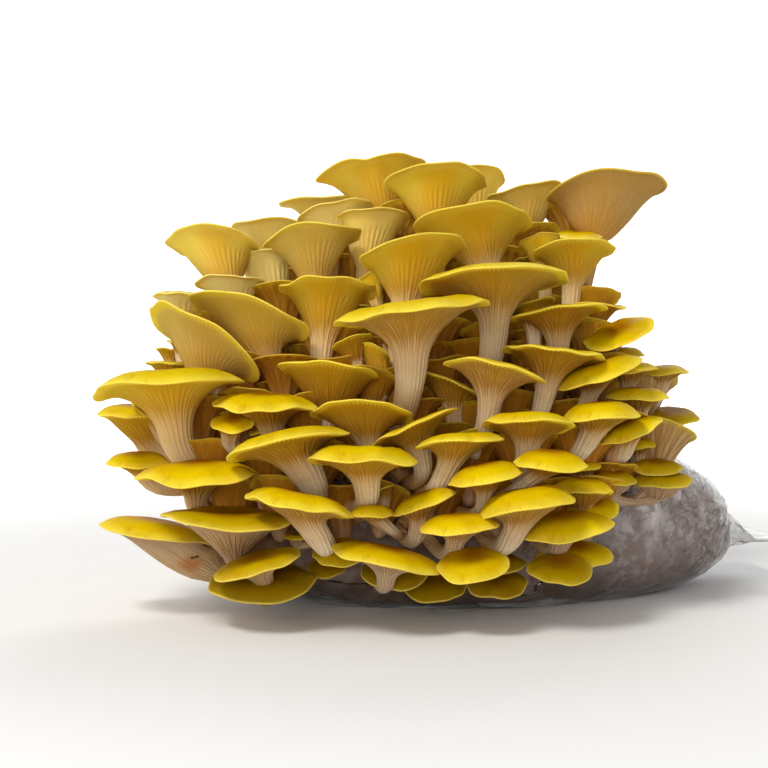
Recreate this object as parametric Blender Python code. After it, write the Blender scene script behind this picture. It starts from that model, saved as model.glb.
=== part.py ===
"""A cluster of golden oyster mushrooms on a lying grow bag.

Three kinds of piece: a block of sawdust grown through with mycelium, the clear film bag round it, cut open where the
mushrooms came out, and the mushrooms. A mushroom is one grown piece, stem and cap together. Mushrooms that share one
foot are one bunch, which is one piece too. Metres, +Z up; the front of the cluster faces -Y.
"""

import math

import bmesh
import bpy
from mathutils import Matrix, Vector
from mathutils.bvhtree import BVHTree

MM = 0.001

# The block and its bag
BLOCK_HALF_LENGTH = 116 * MM
BLOCK_HALF_DEPTH = 64 * MM
BLOCK_HEIGHT = 73 * MM
SLUMP = 7 * MM  # how much of the section its own weight has pressed flat
BLOCK_YAW = math.radians(14)  # the right end lies further back
BLOCK_CENTRE = Vector((8 * MM, -2 * MM, 0))
END_ROUNDING = 2.0  # how late along its length the block tapers
SECTION_ROUNDING = 3.4  # 2 would be an ellipse, more is squarer
END_LIFT = 21 * MM  # the middle of each end is this far off the ground
LUMPS = ((0.018, 5.1, 2, 0.0), (0.014, 9.7, -3, 1.0))  # share of the section, waves along, waves round, phase
CORE_HEIGHT = 32 * MM  # stems aim at a line this high inside the block
CORE_LEFT_END = -80 * MM
CORE_RIGHT_END = 31 * MM

FILM_THICKNESS = 0.6 * MM
FILM_CLEARANCE = 0.4 * MM
FIN_LENGTH = 15 * MM
FIN_HALF_WIDTH = 30 * MM
FIN_THICKNESS = 2.4 * MM
FIN_GAP = 1.5 * MM  # between the film's end and the start of the fin
FIN_OUTLINE = (0.8, 0.3)  # the fin's section is a rounded bar: lower is squarer, across and up
WINDOW_CENTRE = (-0.33, math.radians(134))  # share of the half length, angle round the section
WINDOW_REACH = (0.76, math.radians(88))
WINDOW_SQUARENESS = 4  # 2 would be an ellipse
GRID_SIDES = 16  # facets round the bag and along it
GRID_RINGS = 11

# The mushrooms
FOOT_LIFT = 0.7 * MM
BRANCHES_AT = 0.26  # the others of a bunch leave the first one's stem at this share of its length
BRANCH_RADIUS = 0.5
LARGE_CAP = 19 * MM  # caps with a larger radius get one more ring on the funnel
SIDES_FROM_RADIUS = ((22 * MM, 9), (16 * MM, 7), (9.5 * MM, 6), (0, 5))
SHADED_BELOW = 45 * MM
YELLOW = (0.80, 0.62, 0.03)
OLIVE = (0.42, 0.30, 0.03)
BLOCK_COLOUR = (0.42, 0.36, 0.31)
FILM_COLOUR = (0.80, 0.78, 0.76)
FLESH_ROUGHNESS = 0.55
BLOCK_ROUGHNESS = 0.9
FILM_ROUGHNESS = 0.25
SHARP_FROM = math.radians(50)

# The front elevation is drawn from this eye point, on the upright plane at the block's front.
EYE = Vector((-34 * MM, -810 * MM, 127 * MM))
DRAWN_AT = -60 * MM

# Each mushroom, in millimetres and degrees:
# left rim (across, up), right rim (across, up), depth of the cap's centre, tip towards the eye as seen,
# dome height as a share of the radius, neck (across, up, width)
MUSHROOMS = {
    "T1": ((-59, 175.5), (-18, 181.5), 14, -20, 0.03, (-33.5, 158, 9.5)),
    "T2": ((-33, 173.5), (7.5, 174.5), -15, -24, 0.03, (-13, 154, 10)),
    "T3": ((-12, 175), (15, 175), 24, -28, 0.03, (3, 155.5, 8)),
    "T4": ((-54.5, 157), (-23.5, 159.5), -10, -24, 0.03, (-41.5, 139.5, 8)),
    "T5": ((-69, 159), (-38.5, 165), -8, -18, 0.04, (-56, 143.5, 8)),
    "T6": ((-83, 149.5), (-43.5, 153.5), -28, -17, 0.03, (-62, 131.5, 10)),
    "T7": ((-76.5, 165.5), (-42, 167), 28, -9, 0.03, (-58, 149, 8)),
    "T8": ((-95, 156.5), (-64, 156.5), 10, -12, 0.04, (-79, 139.5, 8)),
    "T10": ((-121, 150), (-85, 147.5), -10, -27, 0.03, (-97, 131.5, 10)),
    "T11": ((-95, 140.5), (-69, 144.5), 0, -22, 0.03, (-77.5, 127, 9)),
    "T12": ((-110.5, 133), (-82.5, 133), -30, -17, 0.04, (-93.5, 119.5, 8)),
    "T14": ((8, 166.5), (41, 171), 6, -18, 0.03, (23, 151.5, 8)),
    "T15": ((33, 169), (79, 173), -20, -20, 0.04, (51, 151, 9)),
    "T16": ((-21, 155), (25, 158), -42, -25, 0.03, (7, 141, 13)),
    "T17": ((21, 149), (37, 152), -33, -25, 0.03, (31, 139, 6)),
    "T18": ((34.5, 152.5), (54.5, 152.5), -25, 5, 0.22, (45, 142, 7)),
    "T19": ((26.5, 145), (60, 147.5), -48, -18, 0.05, (42.5, 132, 8)),
    "T20": ((-43.5, 142), (-1.5, 149), -62, -20, 0.03, (-25, 126, 12)),
    "T21": ((-45, 132.5), (-34.5, 138), -40, -25, 0.03, (-37, 125, 5)),
    "T22": ((40, 127.5), (62.5, 128.5), -40, -22, 0.04, (51, 116.5, 7)),
    "M1": ((-53, 116.5), (7.5, 125.5), -98, -4, 0.17, (-23, 100.5, 13)),
    "M2": ((-18.5, 132), (41, 135.5), -78, -12, 0.15, (11, 117, 12)),
    "M3": ((-76.5, 131), (-37.5, 130), -54, -17, 0.07, (-59, 110, 10)),
    "M4": ((-113, 126), (-65, 111.5), -56, -20, 0.10, (-80, 106, 11)),
    "M5": ((-129, 123), (-87, 95.5), -61, -20, 0.07, (-103.5, 97, 11)),
    "M6": ((-128, 128), (-105.5, 127), -28, -12, 0.15, (-116.5, 110, 8)),
    "M7": ((-122.5, 110.5), (-107, 107), -30, 3, 0.05, (-113.5, 97, 6)),
    "M8": ((-127, 107), (-117.5, 106), -26, -5, 0.10, (-120, 98, 4)),
    "M9": ((-131, 101), (-113.5, 100.5), -36, -3, 0.10, (-121, 91, 6)),
    "L1": ((-151, 89), (-93.5, 94.5), -86, -3, 0.24, (-119, 72, 14)),
    "L2": ((-151, 81), (-123.5, 79), -52, 5, 0.28, (-128, 67.5, 10)),
    "L3": ((-148, 60.5), (-122, 61), -62, 9, 0.28, (-131, 54, 7)),
    "L4": ((-135, 54), (-86, 55.5), -93, 6, 0.24, (-111, 46, 9)),
    "L5": ((-125, 39.3), (-69, 36.3), -104, 8, 0.07, (-95, 23, 10)),
    "L6": ((-150, 35), (-105.5, 27.5), -70, 5, 0.25, (-105, 17, 12)),
    "L7": ((-103.5, 13.5), (-68.5, 23.5), -112, 12, 0.18, (-85, 17, 8)),
    "L8": ((-105.5, 11), (-62, 11.5), -96, 21, 0.15, (-83, 11.5, 8)),
    "L9": ((-137, 85), (-123, 76), -60, 8, 0.25, (-125, 71, 5)),
    "L10": ((-143, 76), (-131, 73.5), -45, -10, 0.20, (-133, 67, 5)),
    "C1": ((-103, 84), (-61.5, 83), -90, 4, 0.24, (-79, 71, 9)),
    "C2": ((-104.5, 77), (-87.5, 76.5), -92, 28, 0.20, (-97, 71, 7)),
    "C3": ((-76.5, 99), (-35, 95), -76, -12, 0.08, (-56, 83.5, 11)),
    "C4": ((-63, 81), (-23, 79), -94, -16, 0.08, (-40.5, 70, 10)),
    "C5": ((-97, 62), (-49, 73), -108, -6, 0.24, (-66, 57, 13)),
    "C6": ((-64, 61), (-20.5, 60), -118, -2, 0.32, (-41, 51, 10)),
    "C7": ((-38, 68), (-5, 82.5), -98, -3, 0.08, (-18.5, 61.5, 8)),
    "C8": ((-21, 67), (15, 70), -108, -2, 0.22, (-9, 56.5, 8)),
    "C9": ((-89, 72.5), (-77.5, 75.5), -80, 15, 0.20, (-83, 67.5, 5)),
    "C10": ((-51, 98), (-27.5, 93), -64, -20, 0.05, (-39, 85, 7)),
    "C11": ((-55, 107), (-39, 112.5), -60, -15, 0.05, (-45, 102, 6)),
    "C12": ((-45, 108), (-32, 102), -60, -30, 0.05, (-34.5, 95.5, 5)),
    "C13": ((-4, 71.5), (8.5, 72.5), -87, -20, 0.05, (3, 66, 5)),
    "R1": ((-21.5, 97), (8.5, 85), -68, -10, 0.12, (-5, 79, 8)),
    "R2": ((-9.5, 101.5), (31, 93.5), -98, -10, 0.13, (9, 83.5, 9)),
    "R3": ((15, 106.5), (55, 102.5), -86, -8, 0.07, (31.5, 87.5, 8)),
    "R4": ((18, 119), (56, 123.5), -72, -8, 0.08, (37, 107.5, 9)),
    "R5": ((48.5, 108.5), (75, 118.5), -66, 22, 0.10, (57, 105, 6)),
    "R6": ((37, 90.5), (70.5, 101.5), -80, 5, 0.30, (49.5, 87, 6.5)),
    "R7": ((57, 96.5), (77, 99), -62, 2, 0.33, (65, 91, 6)),
    "R8": ((70, 97), (90, 98), -40, 5, 0.25, (79, 91, 6)),
    "R9": ((56.5, 87), (82, 87), -66, 3, 0.32, (70, 79, 7)),
    "R10": ((73, 79.5), (94, 79.5), -35, 20, 0.20, (82, 75, 6)),
    "R11": ((39, 78), (70.5, 80), -92, 3, 0.40, (49.5, 70, 8.5)),
    "R12": ((53, 68.5), (79, 78), -78, 12, 0.28, (64, 66, 8)),
    "R13": ((61, 67), (77, 68.5), -46, 15, 0.30, (70, 62, 7)),
    "R14": ((7.5, 75.5), (43, 74.5), -102, -11, 0.30, (24.5, 66, 9)),
    "R15": ((19, 60.5), (49, 59), -116, 9, 0.36, (25, 53, 6)),
    "R16": ((-7, 51.5), (23, 57), -116, 8, 0.38, (7, 46, 6)),
    "R17": ((35, 50), (59.5, 48.5), -90, 5, 0.38, (47, 43, 7)),
    "R18": ((51, 54), (69, 53), -72, 15, 0.33, (59, 49, 6)),
    "R19": ((67, 58), (88, 58.5), -60, 15, 0.25, (76, 53, 6)),
    "R20": ((4, 38), (45, 45.5), -118, 2, 0.40, (19, 31, 9)),
    "R21": ((22, 31.5), (59.5, 35.5), -105, 15, 0.28, (38, 27, 8)),
    "R22": ((41, 41.5), (62, 42), -82, 27, 0.25, (52, 39, 6)),
    "R23": ((30, 22), (59, 23), -82, 22, 0.25, (46, 19.5, 7)),
    "R24": ((25, 17), (51, 17), -102, 30, 0.22, (36, 15.5, 7)),
    "R25": ((-11.5, 16.5), (17, 20), -120, 28, 0.32, (2.5, 16.5, 7)),
    "R26": ((-5.5, 18), (24, 19), -90, 16, 0.22, (13, 17, 7)),
    "R27": ((-26, 10), (0, 11), -86, 33, 0.20, (-13, 10, 6)),
    "R28": ((1, 10), (24, 11), -100, 32, 0.20, (12, 10, 6)),
    "R30": ((40, 123), (64, 124), -50, -8, 0.08, (51, 110, 6)),
    "R31": ((17, 121), (35.5, 127), -62, -15, 0.05, (27, 114, 6)),
    "R32": ((55, 104), (72, 104.5), -42, 3, 0.38, (63, 99.5, 5)),
    "R33": ((40, 58), (54.5, 59.5), -78, 15, 0.25, (47, 55, 5)),
    "R34": ((68, 53), (92, 53), -62, 12, 0.27, (78, 47.5, 6)),
    "B1": ((-19, 32.5), (12.5, 34.5), -120, 7, 0.36, (-5, 27, 7)),
    "B2": ((-30, 39), (-5, 48), -110, 6, 0.35, (-20, 33, 7)),
    "B3": ((-48.5, 39), (-29.5, 39), -112, 5, 0.42, (-34, 35, 5)),
    "B4": ((-54.5, 25.5), (-11, 16), -116, 8, 0.20, (-33, 13, 7)),
    "B5": ((-43, 16), (-16, 16), -92, 35, 0.20, (-29.5, 15, 6)),
    "B6": ((-63, 23), (-39, 24.5), -100, 28, 0.20, (-51, 22, 6)),
    "B7": ((-65, 17), (-50, 18), -83, 35, 0.20, (-57.5, 16, 5)),
    "B8": ((-91, 47), (-48, 38), -120, 1, 0.28, (-61.5, 31.5, 10)),
    "B9": ((-75, 30), (-65, 30), -88, 15, 0.20, (-70, 27, 4)),
    "B10": ((-37, 48), (-29.5, 51), -88, -10, 0.05, (-34, 43, 4)),
}

# Mushrooms that grew from one foot. The others stand alone.
BUNCHES = (
    ("T1", "T7"), ("T2", "T3"), ("T4", "T5"), ("T10", "T8", "T12", "T11"), ("T14", "T17"), ("T15", "T18"),
    ("T19", "T22", "R30"), ("T20", "T21"), ("M6", "M7", "M8", "M9"), ("L2", "L9", "L10", "L3"), ("L5", "L8", "L7"),
    ("C1", "C2", "C9"), ("C3", "C10", "C11", "C12"), ("C6", "B10"), ("R2", "C13"), ("R4", "R31"),
    ("R6", "R7", "R32", "R9", "R8", "R5"), ("R10", "R13"), ("R34", "R18", "R19"), ("R11", "R33"), ("R17", "R22"),
    ("R21", "R24", "R23"), ("R25", "R26", "R28"), ("B4", "B5", "R27"), ("B8", "B9", "B6", "B7"), ("B2", "B3"),
)

ROWS = {"T": "top", "M": "middle", "L": "left", "C": "centre", "R": "right", "B": "bottom"}
FAR_SHARES = ((10, 0.9), (-8, 0.75), (-90, 0.68))  # the far side against the near side, by least tip in degrees
FAN_TIP = math.radians(-20)  # a cap that leans back this far has the straight sides of a fan
ROUND_TIP = math.radians(-8)  # and one that leans less than this flares like a trumpet
FAN_FLARE = 0.5
NECK_BACK = 0.3  # the stem stands this share of the radius behind the cap's centre
LEAST_FUNNEL = 0.42  # and the funnel is at least this share of the radius deep
SHOULDER = 0.62  # share of the radius at which the dome's slope is caught
DISH = 0.10  # the middle of a cap is a little sunken, by this share of the radius
LONG_STEM = 36 * MM  # a longer one has a ring half way
STEM_WAIST = 0.78  # the stem is narrower than its neck by this
FOOT_SPREAD = 0.76
TURNS_BELOW_NECK = 0.34  # share of the stem's length in which it turns into the cap's direction
CLEAR_OF_GROUND = 5 * MM
KEEPS_OFF_BLOCK = 5 * MM
LOWEST_ROOT_SLOPE = -0.16  # roots stay above the window's lower edge
MOST_RIGHTWARDS = 0.2  # and left of its right edge
DOMED = 0.12  # flatter caps than this need no ring on their shoulder
DOME_POWER = 2.5  # a dome falls by this power of the way to its rim
SMALL_FUNNEL = (math.radians(58),)  # where a funnel has rings between its neck and its rim, of 90 degrees
LARGE_FUNNEL = (math.radians(40), math.radians(68))


def remove_everything():
    for old in list(bpy.data.objects):
        bpy.data.objects.remove(old)


def make_material(name, colour, roughness):
    material = bpy.data.materials.new(name)
    material.use_nodes = True
    shader = material.node_tree.nodes["Principled BSDF"]
    shader.inputs["Base Color"].default_value = (*colour, 1.0)
    shader.inputs["Roughness"].default_value = roughness
    shader.inputs["Metallic"].default_value = 0.0
    return material


def make_object(name, bm, material):
    """Closes the mesh's bookkeeping and puts it in the scene, with round surfaces shaded smooth."""
    bmesh.ops.recalc_face_normals(bm, faces=bm.faces)
    mesh = bpy.data.meshes.new(name)
    bm.to_mesh(mesh)
    bm.free()
    mesh.materials.append(material)
    mesh.shade_smooth()
    mesh.set_sharp_from_angle(angle=SHARP_FROM)
    made = bpy.data.objects.new(name, mesh)
    bpy.context.scene.collection.objects.link(made)
    return made


def two_facets(bm, a, b, c, d, inwards=False):
    """Two triangles that always split a quad from a to c, so that parallel skins never cross."""
    for corners in ((a, b, c), (a, c, d)):
        distinct = list(dict.fromkeys(corners))
        if len(distinct) == 3:
            bm.faces.new(reversed(distinct) if inwards else distinct)


def skin(bm, rings, closed_start=True, closed_end=True):
    """Quads between successive rings of points, and a face or a fan on each end that is closed."""
    loops = [[bm.verts.new(point) for point in ring] for ring in rings]
    for lower, upper in zip(loops, loops[1:]):
        for i in range(len(lower)):
            j = (i + 1) % len(lower)
            if len(upper) == 1:
                bm.faces.new((lower[i], lower[j], upper[0]))
            else:
                two_facets(bm, lower[i], lower[j], upper[j], upper[i])
    if closed_start:
        bm.faces.new(reversed(loops[0]))
    if closed_end and len(loops[-1]) > 1:
        bm.faces.new(loops[-1])
    return loops


# The block and the film share one rule for their surface.


def power(value, exponent):
    return math.copysign(abs(value) ** exponent, value)


def bag_point(along, turn, grow):
    """A point of the slumped block, grown by a distance: along runs -1 to 1, turn is 0 at the back and 90 degrees on top.

    The section is a rounded rectangle that tapers late along its length, and whatever would sink below the ground is
    pressed flat against it.
    """
    taper = max(0.0, 1 - abs(along) ** END_ROUNDING) ** (1 / END_ROUNDING)
    lumps = 1 + sum(size * math.sin(a * along + b * turn + phase) for size, a, b, phase in LUMPS)
    half_depth = (BLOCK_HALF_DEPTH + grow) * taper * lumps
    half_height = ((BLOCK_HEIGHT + SLUMP) / 2 + grow) * taper * lumps
    middle = END_LIFT + ((BLOCK_HEIGHT - SLUMP) / 2 - END_LIFT) * taper
    x = along * (BLOCK_HALF_LENGTH + grow)
    y = half_depth * power(math.cos(turn), 2 / SECTION_ROUNDING)
    z = middle + half_height * power(math.sin(turn), 2 / SECTION_ROUNDING)
    ground = FILM_CLEARANCE + FILM_THICKNESS - grow
    spot = Matrix.Rotation(BLOCK_YAW, 3, "Z") @ Vector((x, y, 0)) + BLOCK_CENTRE
    return Vector((spot.x, spot.y, max(z, ground)))


def bag_rings(grow):
    """Rings along the block, closer together towards its ends, with a point at each end."""
    rings = []
    for i in range(GRID_RINGS + 1):
        along = math.sin(math.pi / 2 * (2 * i / GRID_RINGS - 1))
        turns = [2 * math.pi * j / GRID_SIDES for j in range(GRID_SIDES)]
        if i in (0, GRID_RINGS):
            rings.append([bag_point(along, 0, grow)])
        else:
            rings.append([bag_point(along, turn, grow) for turn in turns])
    return rings


def in_window(i, j):
    """Whether the face after ring i and side j lies in the cut that the mushrooms came through."""
    along = math.sin(math.pi / 2 * ((2 * i + 1) / GRID_RINGS - 1))
    turn = 2 * math.pi * (j + 0.5) / GRID_SIDES
    offsets = (along - WINDOW_CENTRE[0]) / WINDOW_REACH[0], (turn - WINDOW_CENTRE[1]) / WINDOW_REACH[1]
    return sum(abs(offset) ** WINDOW_SQUARENESS for offset in offsets) < 1


def make_block(material):
    bm = bmesh.new()
    rings = bag_rings(0)
    first = bm.verts.new(rings[0][0])
    loops = skin(bm, rings[1:], closed_start=False)
    for i in range(GRID_SIDES):
        bm.faces.new((loops[0][(i + 1) % GRID_SIDES], loops[0][i], first))
    return make_object("substrate_block", bm, material)


def fin_rings():
    """The flat seal that closes the bag's right end."""
    rings = []
    for reach in (0.0, FIN_LENGTH):
        ring = []
        for j in range(GRID_SIDES):
            turn = 2 * math.pi * j / GRID_SIDES
            across = FIN_HALF_WIDTH * power(math.cos(turn), FIN_OUTLINE[0])
            up = FIN_THICKNESS / 2 * power(math.sin(turn), FIN_OUTLINE[1])
            x = BLOCK_HALF_LENGTH + FILM_CLEARANCE + FILM_THICKNESS + FIN_GAP + reach
            spot = Matrix.Rotation(BLOCK_YAW, 3, "Z") @ Vector((x, across, 0)) + BLOCK_CENTRE
            ring.append(Vector((spot.x, spot.y, END_LIFT + up)))
        rings.append(ring)
    return rings


def make_film(material):
    """Two skins a film's thickness apart, joined all round the window, with a seal at the right end."""
    bm = bmesh.new()
    skins = []
    for grow in (FILM_CLEARANCE + FILM_THICKNESS, FILM_CLEARANCE):
        rings = bag_rings(grow)
        skins.append([[bm.verts.new(point) for point in ring] for ring in rings])
    outer, inner = skins
    fin = [[bm.verts.new(point) for point in ring] for ring in fin_rings()]
    open_faces = {(i, j) for i in range(GRID_RINGS) for j in range(GRID_SIDES) if in_window(i, j)}

    def corners(skin_rings, i, j):
        places = ((i, j), (i, j + 1), (i + 1, j + 1), (i + 1, j))
        return [skin_rings[ring][side % len(skin_rings[ring])] for ring, side in places]

    for i in range(GRID_RINGS):
        for j in range(GRID_SIDES):
            if (i, j) in open_faces:
                continue
            two_facets(bm, *corners(inner, i, j), inwards=True)
            if i < GRID_RINGS - 1:
                two_facets(bm, *corners(outer, i, j))
            else:
                k = (j + 1) % GRID_SIDES
                two_facets(bm, outer[i][j], outer[i][k], fin[0][k], fin[0][j])
    for j in range(GRID_SIDES):
        k = (j + 1) % GRID_SIDES
        bm.faces.new((fin[0][j], fin[0][k], fin[1][k], fin[1][j]))
    bm.faces.new(fin[1])
    bm.verts.remove(outer[-1][0])
    pair = {}
    for outer_ring, inner_ring in zip(outer[:-1], inner):
        for outer_vertex, inner_vertex in zip(outer_ring, inner_ring):
            pair[outer_vertex] = inner_vertex
    for edge in [edge for edge in bm.edges if edge.is_boundary and edge.verts[0] in pair and edge.verts[1] in pair]:
        a, b = edge.verts
        bm.faces.new((a, b, pair[b], pair[a]))
    for vertex in [vertex for vertex in bm.verts if not vertex.link_faces]:
        bm.verts.remove(vertex)
    return make_object("bag_film", bm, material)


# The mushrooms


def seen(across, up, depth):
    """The point at a depth, on the sight line through a point of the drawing; all in metres."""
    share = (depth - EYE.y) / (DRAWN_AT - EYE.y)
    return Vector((EYE.x + (across - EYE.x) * share, depth, EYE.z + (up - EYE.z) * share))


class Growth:
    """Where one mushroom's cap, neck and foot are."""

    def __init__(self, row, block_tree, lead=None):
        left, right, depth, tip, self.dome, neck = row
        self.far_share = next(share for least, share in FAR_SHARES if tip >= least)
        tip = math.radians(tip)
        roundness = max(0.0, min(1.0, (tip - FAN_TIP) / (ROUND_TIP - FAN_TIP)))
        self.flare = FAN_FLARE + (1 - FAN_FLARE) * roundness
        left = seen(left[0] * MM, left[1] * MM, depth * MM)
        right = seen(right[0] * MM, right[1] * MM, depth * MM)
        self.centre = (left + right) / 2
        self.radius = (right - left).length / 2
        self.across = (right - left).normalized()
        sight = self.centre - EYE
        sight = (sight - self.across * sight.dot(self.across)).normalized()
        lift = self.across.cross(sight)
        self.away = sight * math.cos(tip) + lift * math.sin(tip)
        self.axis = self.across.cross(self.away)

        drop = self.centre.z - neck[1] * MM
        neck_depth = self.centre.y + drop * math.tan(tip) + NECK_BACK * self.radius
        self.neck = seen(neck[0] * MM, neck[1] * MM, neck_depth)
        self.neck_radius = neck[2] * MM / 2
        short = LEAST_FUNNEL * self.radius - (self.centre - self.neck).dot(self.axis)
        if short > 0:
            self.neck -= self.axis * short
        self.rise = (self.centre - self.neck).normalized()
        self.foot_radius = self.neck_radius * FOOT_SPREAD
        if lead:
            self.foot = lead.branch()
            self.foot_normal = (self.neck - self.foot).normalized()
            self.foot_radius = BRANCH_RADIUS * min(lead.neck_radius, self.neck_radius)
        else:
            self.foot, self.foot_normal = root_below(self.neck, block_tree)
            self.foot += self.foot_normal * FOOT_LIFT
        way = self.neck - self.foot
        self.bend = self.neck - self.rise * way.length * TURNS_BELOW_NECK
        self.bend.z = max(self.bend.z, CLEAR_OF_GROUND)
        nearest, facing, _, _ = block_tree.find_nearest(self.bend)
        short = KEEPS_OFF_BLOCK + self.neck_radius - (self.bend - nearest).dot(facing)
        if short > 0:
            self.bend += facing * short

    def ring(self, centre, normal, radius, sides, far_share=1.0):
        turn = self.axis.rotation_difference(normal)
        across = turn @ self.across
        away = turn @ self.away
        angles = [2 * math.pi * i / sides for i in range(sides)]
        reach = [math.sin(angle) * (far_share if angle < math.pi else 1.0) for angle in angles]
        return [centre + radius * (math.cos(angle) * across + far * away) for angle, far in zip(angles, reach)]

    def stem_at(self, share):
        """Point and direction on the stem: a curve from the foot that arrives at the neck along the funnel."""
        back = 1 - share
        point = self.foot * back * back + self.bend * 2 * back * share + self.neck * share * share
        along = (self.bend - self.foot) * back + (self.neck - self.bend) * share
        return point, along.normalized()

    def is_bent(self):
        return (self.neck - self.foot).length > LONG_STEM

    def branch(self):
        """Where the others of a bunch leave this stem, in the middle of its facets."""
        if self.is_bent():
            return self.foot.lerp(self.stem_at(0.5)[0], 2 * BRANCHES_AT)
        return self.foot.lerp(self.neck, BRANCHES_AT)

    def rings(self):
        sides = next(count for least, count in SIDES_FROM_RADIUS if self.radius > least)
        rings = [self.ring(self.foot, self.foot_normal, self.foot_radius, sides)]
        if self.is_bent():
            point, along = self.stem_at(0.5)
            rings.append(self.ring(point, along, self.neck_radius * STEM_WAIST, sides))
        rings.append(self.ring(self.neck, self.rise, self.neck_radius, sides))
        for flare in LARGE_FUNNEL if self.radius > LARGE_CAP else SMALL_FUNNEL:
            lean = 1 - (1 - math.sin(flare)) ** 2
            normal = self.rise.slerp(self.axis, lean)
            share = (1 - math.cos(flare)) ** self.flare
            radius = self.neck_radius + (self.radius - self.neck_radius) * share
            centre = self.neck + (self.centre - self.neck) * math.sin(flare)
            rings.append(self.ring(centre, normal, radius, sides, 1 + (self.far_share - 1) * share))
        rings.append(self.ring(self.centre, self.axis, self.radius, sides, self.far_share))
        if self.dome > DOMED:
            height = self.dome * self.radius * (1 - SHOULDER**DOME_POWER)
            top = self.centre + self.axis * height
            rings.append(self.ring(top, self.axis, self.radius * SHOULDER, sides, self.far_share))
        rings.append([self.centre + self.axis * (self.dome - DISH) * self.radius])
        return rings


def root_below(neck, block_tree):
    """Where the way from the block's core to a neck leaves the block, and how the block faces there."""
    lengthways = Matrix.Rotation(BLOCK_YAW, 3, "Z") @ Vector((1, 0, 0))
    core = BLOCK_CENTRE + Vector((0, 0, CORE_HEIGHT))
    along = max(CORE_LEFT_END, min(CORE_RIGHT_END, (neck - core).dot(lengthways)))
    target = core + lengthways * along
    way = neck - target
    way.z = max(way.z, LOWEST_ROOT_SLOPE * way.xy.length)
    sideways = way.dot(lengthways)
    outwards = way - lengthways * sideways
    way = outwards + lengthways * min(sideways, MOST_RIGHTWARDS * outwards.length)
    point, normal, _, _ = block_tree.ray_cast(target + way.normalized() * BLOCK_HALF_LENGTH, -way)
    return point, normal


def node_name(kind, key):
    return f"{kind}_{ROWS[key[0]]}_{int(key[1:]):02d}"


def make_mushrooms(block_tree):
    bunch_of = {member: bunch for bunch in BUNCHES for member in bunch}
    made = {}
    for key, row in MUSHROOMS.items():
        bunch = bunch_of.get(key, (key,))
        lead = Growth(MUSHROOMS[bunch[0]], block_tree) if bunch[0] != key else None
        growth = Growth(row, block_tree, lead)
        bm = bmesh.new()
        skin(bm, growth.rings())
        name = node_name("mushroom" if len(bunch) == 1 or key != bunch[0] else "bunch", key)
        colour = YELLOW if growth.centre.z > SHADED_BELOW else OLIVE
        made[key] = make_object(name, bm, make_material(name + " flesh", colour, FLESH_ROUGHNESS))
    for bunch in BUNCHES:
        for member in bunch[1:]:
            made[member].hide_render = True
            made[member].display_type = "WIRE"
            joined = made[bunch[0]].modifiers.new("Grown together with " + made[member].name, "BOOLEAN")
            joined.operation = "UNION"
            joined.solver = "MANIFOLD"  # keeps closed the bunches whose caps press into each other
            joined.object = made[member]
    return made


def main():
    remove_everything()
    block = make_block(make_material("Mycelium block", BLOCK_COLOUR, BLOCK_ROUGHNESS))
    make_film(make_material("Clear film", FILM_COLOUR, FILM_ROUGHNESS))
    bm = bmesh.new()
    bm.from_mesh(block.data)
    block_tree = BVHTree.FromBMesh(bm)
    bm.free()
    make_mushrooms(block_tree)


main()
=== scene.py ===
# %% [markdown]
# # Golden oyster mushrooms on a grow bag
#
# A bag of sawdust, grown through with mycelium, lies on its side. A window was cut in its film, and a dense cluster
# of golden oyster mushrooms came out over the front and the top. The measured solids are already there; this script
# dresses them. Every mushroom is drawn again as one smooth surface with its gills, and the block and its film follow.

# %% The frame: the measured solids
import math

import bpy
import numpy as np
from mathutils import Matrix, Vector
from mathutils.bvhtree import BVHTree


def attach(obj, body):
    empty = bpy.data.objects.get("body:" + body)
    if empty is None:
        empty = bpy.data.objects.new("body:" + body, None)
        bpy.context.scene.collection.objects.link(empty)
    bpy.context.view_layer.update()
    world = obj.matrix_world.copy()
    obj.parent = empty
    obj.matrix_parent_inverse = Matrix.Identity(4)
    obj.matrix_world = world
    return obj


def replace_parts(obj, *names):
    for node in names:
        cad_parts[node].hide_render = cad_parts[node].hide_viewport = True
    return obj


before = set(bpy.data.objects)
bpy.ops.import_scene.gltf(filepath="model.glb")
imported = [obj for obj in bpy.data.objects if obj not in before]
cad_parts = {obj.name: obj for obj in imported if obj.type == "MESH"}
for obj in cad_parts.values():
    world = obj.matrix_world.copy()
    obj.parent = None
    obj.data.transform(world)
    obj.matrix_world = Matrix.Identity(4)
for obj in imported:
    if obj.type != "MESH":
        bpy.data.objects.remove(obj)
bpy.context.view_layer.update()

# %% [markdown]
# ## The camera
#
# A cluster like this is a matter of overlaps, so the camera comes first. It stands where the photographer stood:
# 0.8 m in front, level with the upper third of the cluster, tipped down very slightly. A longer or shorter lens would
# change which cap hides which.

# %% The eye and the camera
MM = 0.001
EYE = Vector((-34 * MM, -810 * MM, 127 * MM))
DRAWN_AT = -60 * MM  # the upright plane that the elevation is drawn on
FRAME_WIDTH = 313.5 * MM  # what the picture spans on that plane
FRAME_MIDDLE = 92.6 * MM  # the height that the camera aims at
SENSOR = 36.0


def in_scene(name, data):
    """A new object in the scene for a camera, a light or a mesh."""
    made = bpy.data.objects.new(name, data)
    bpy.context.scene.collection.objects.link(made)
    return made


def make_camera():
    aim = Vector((EYE.x, DRAWN_AT, FRAME_MIDDLE)) - EYE
    lens = bpy.data.cameras.new("photographer")
    lens.sensor_width = SENSOR
    lens.lens = SENSOR * aim.length / FRAME_WIDTH
    lens.clip_start = 0.01
    camera = in_scene("photographer", lens)
    camera.location = EYE
    camera.rotation_euler = aim.to_track_quat("-Z", "Y").to_euler()
    bpy.context.scene.camera = camera
    return lens.lens


print("lens", round(make_camera(), 1), "mm")

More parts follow.
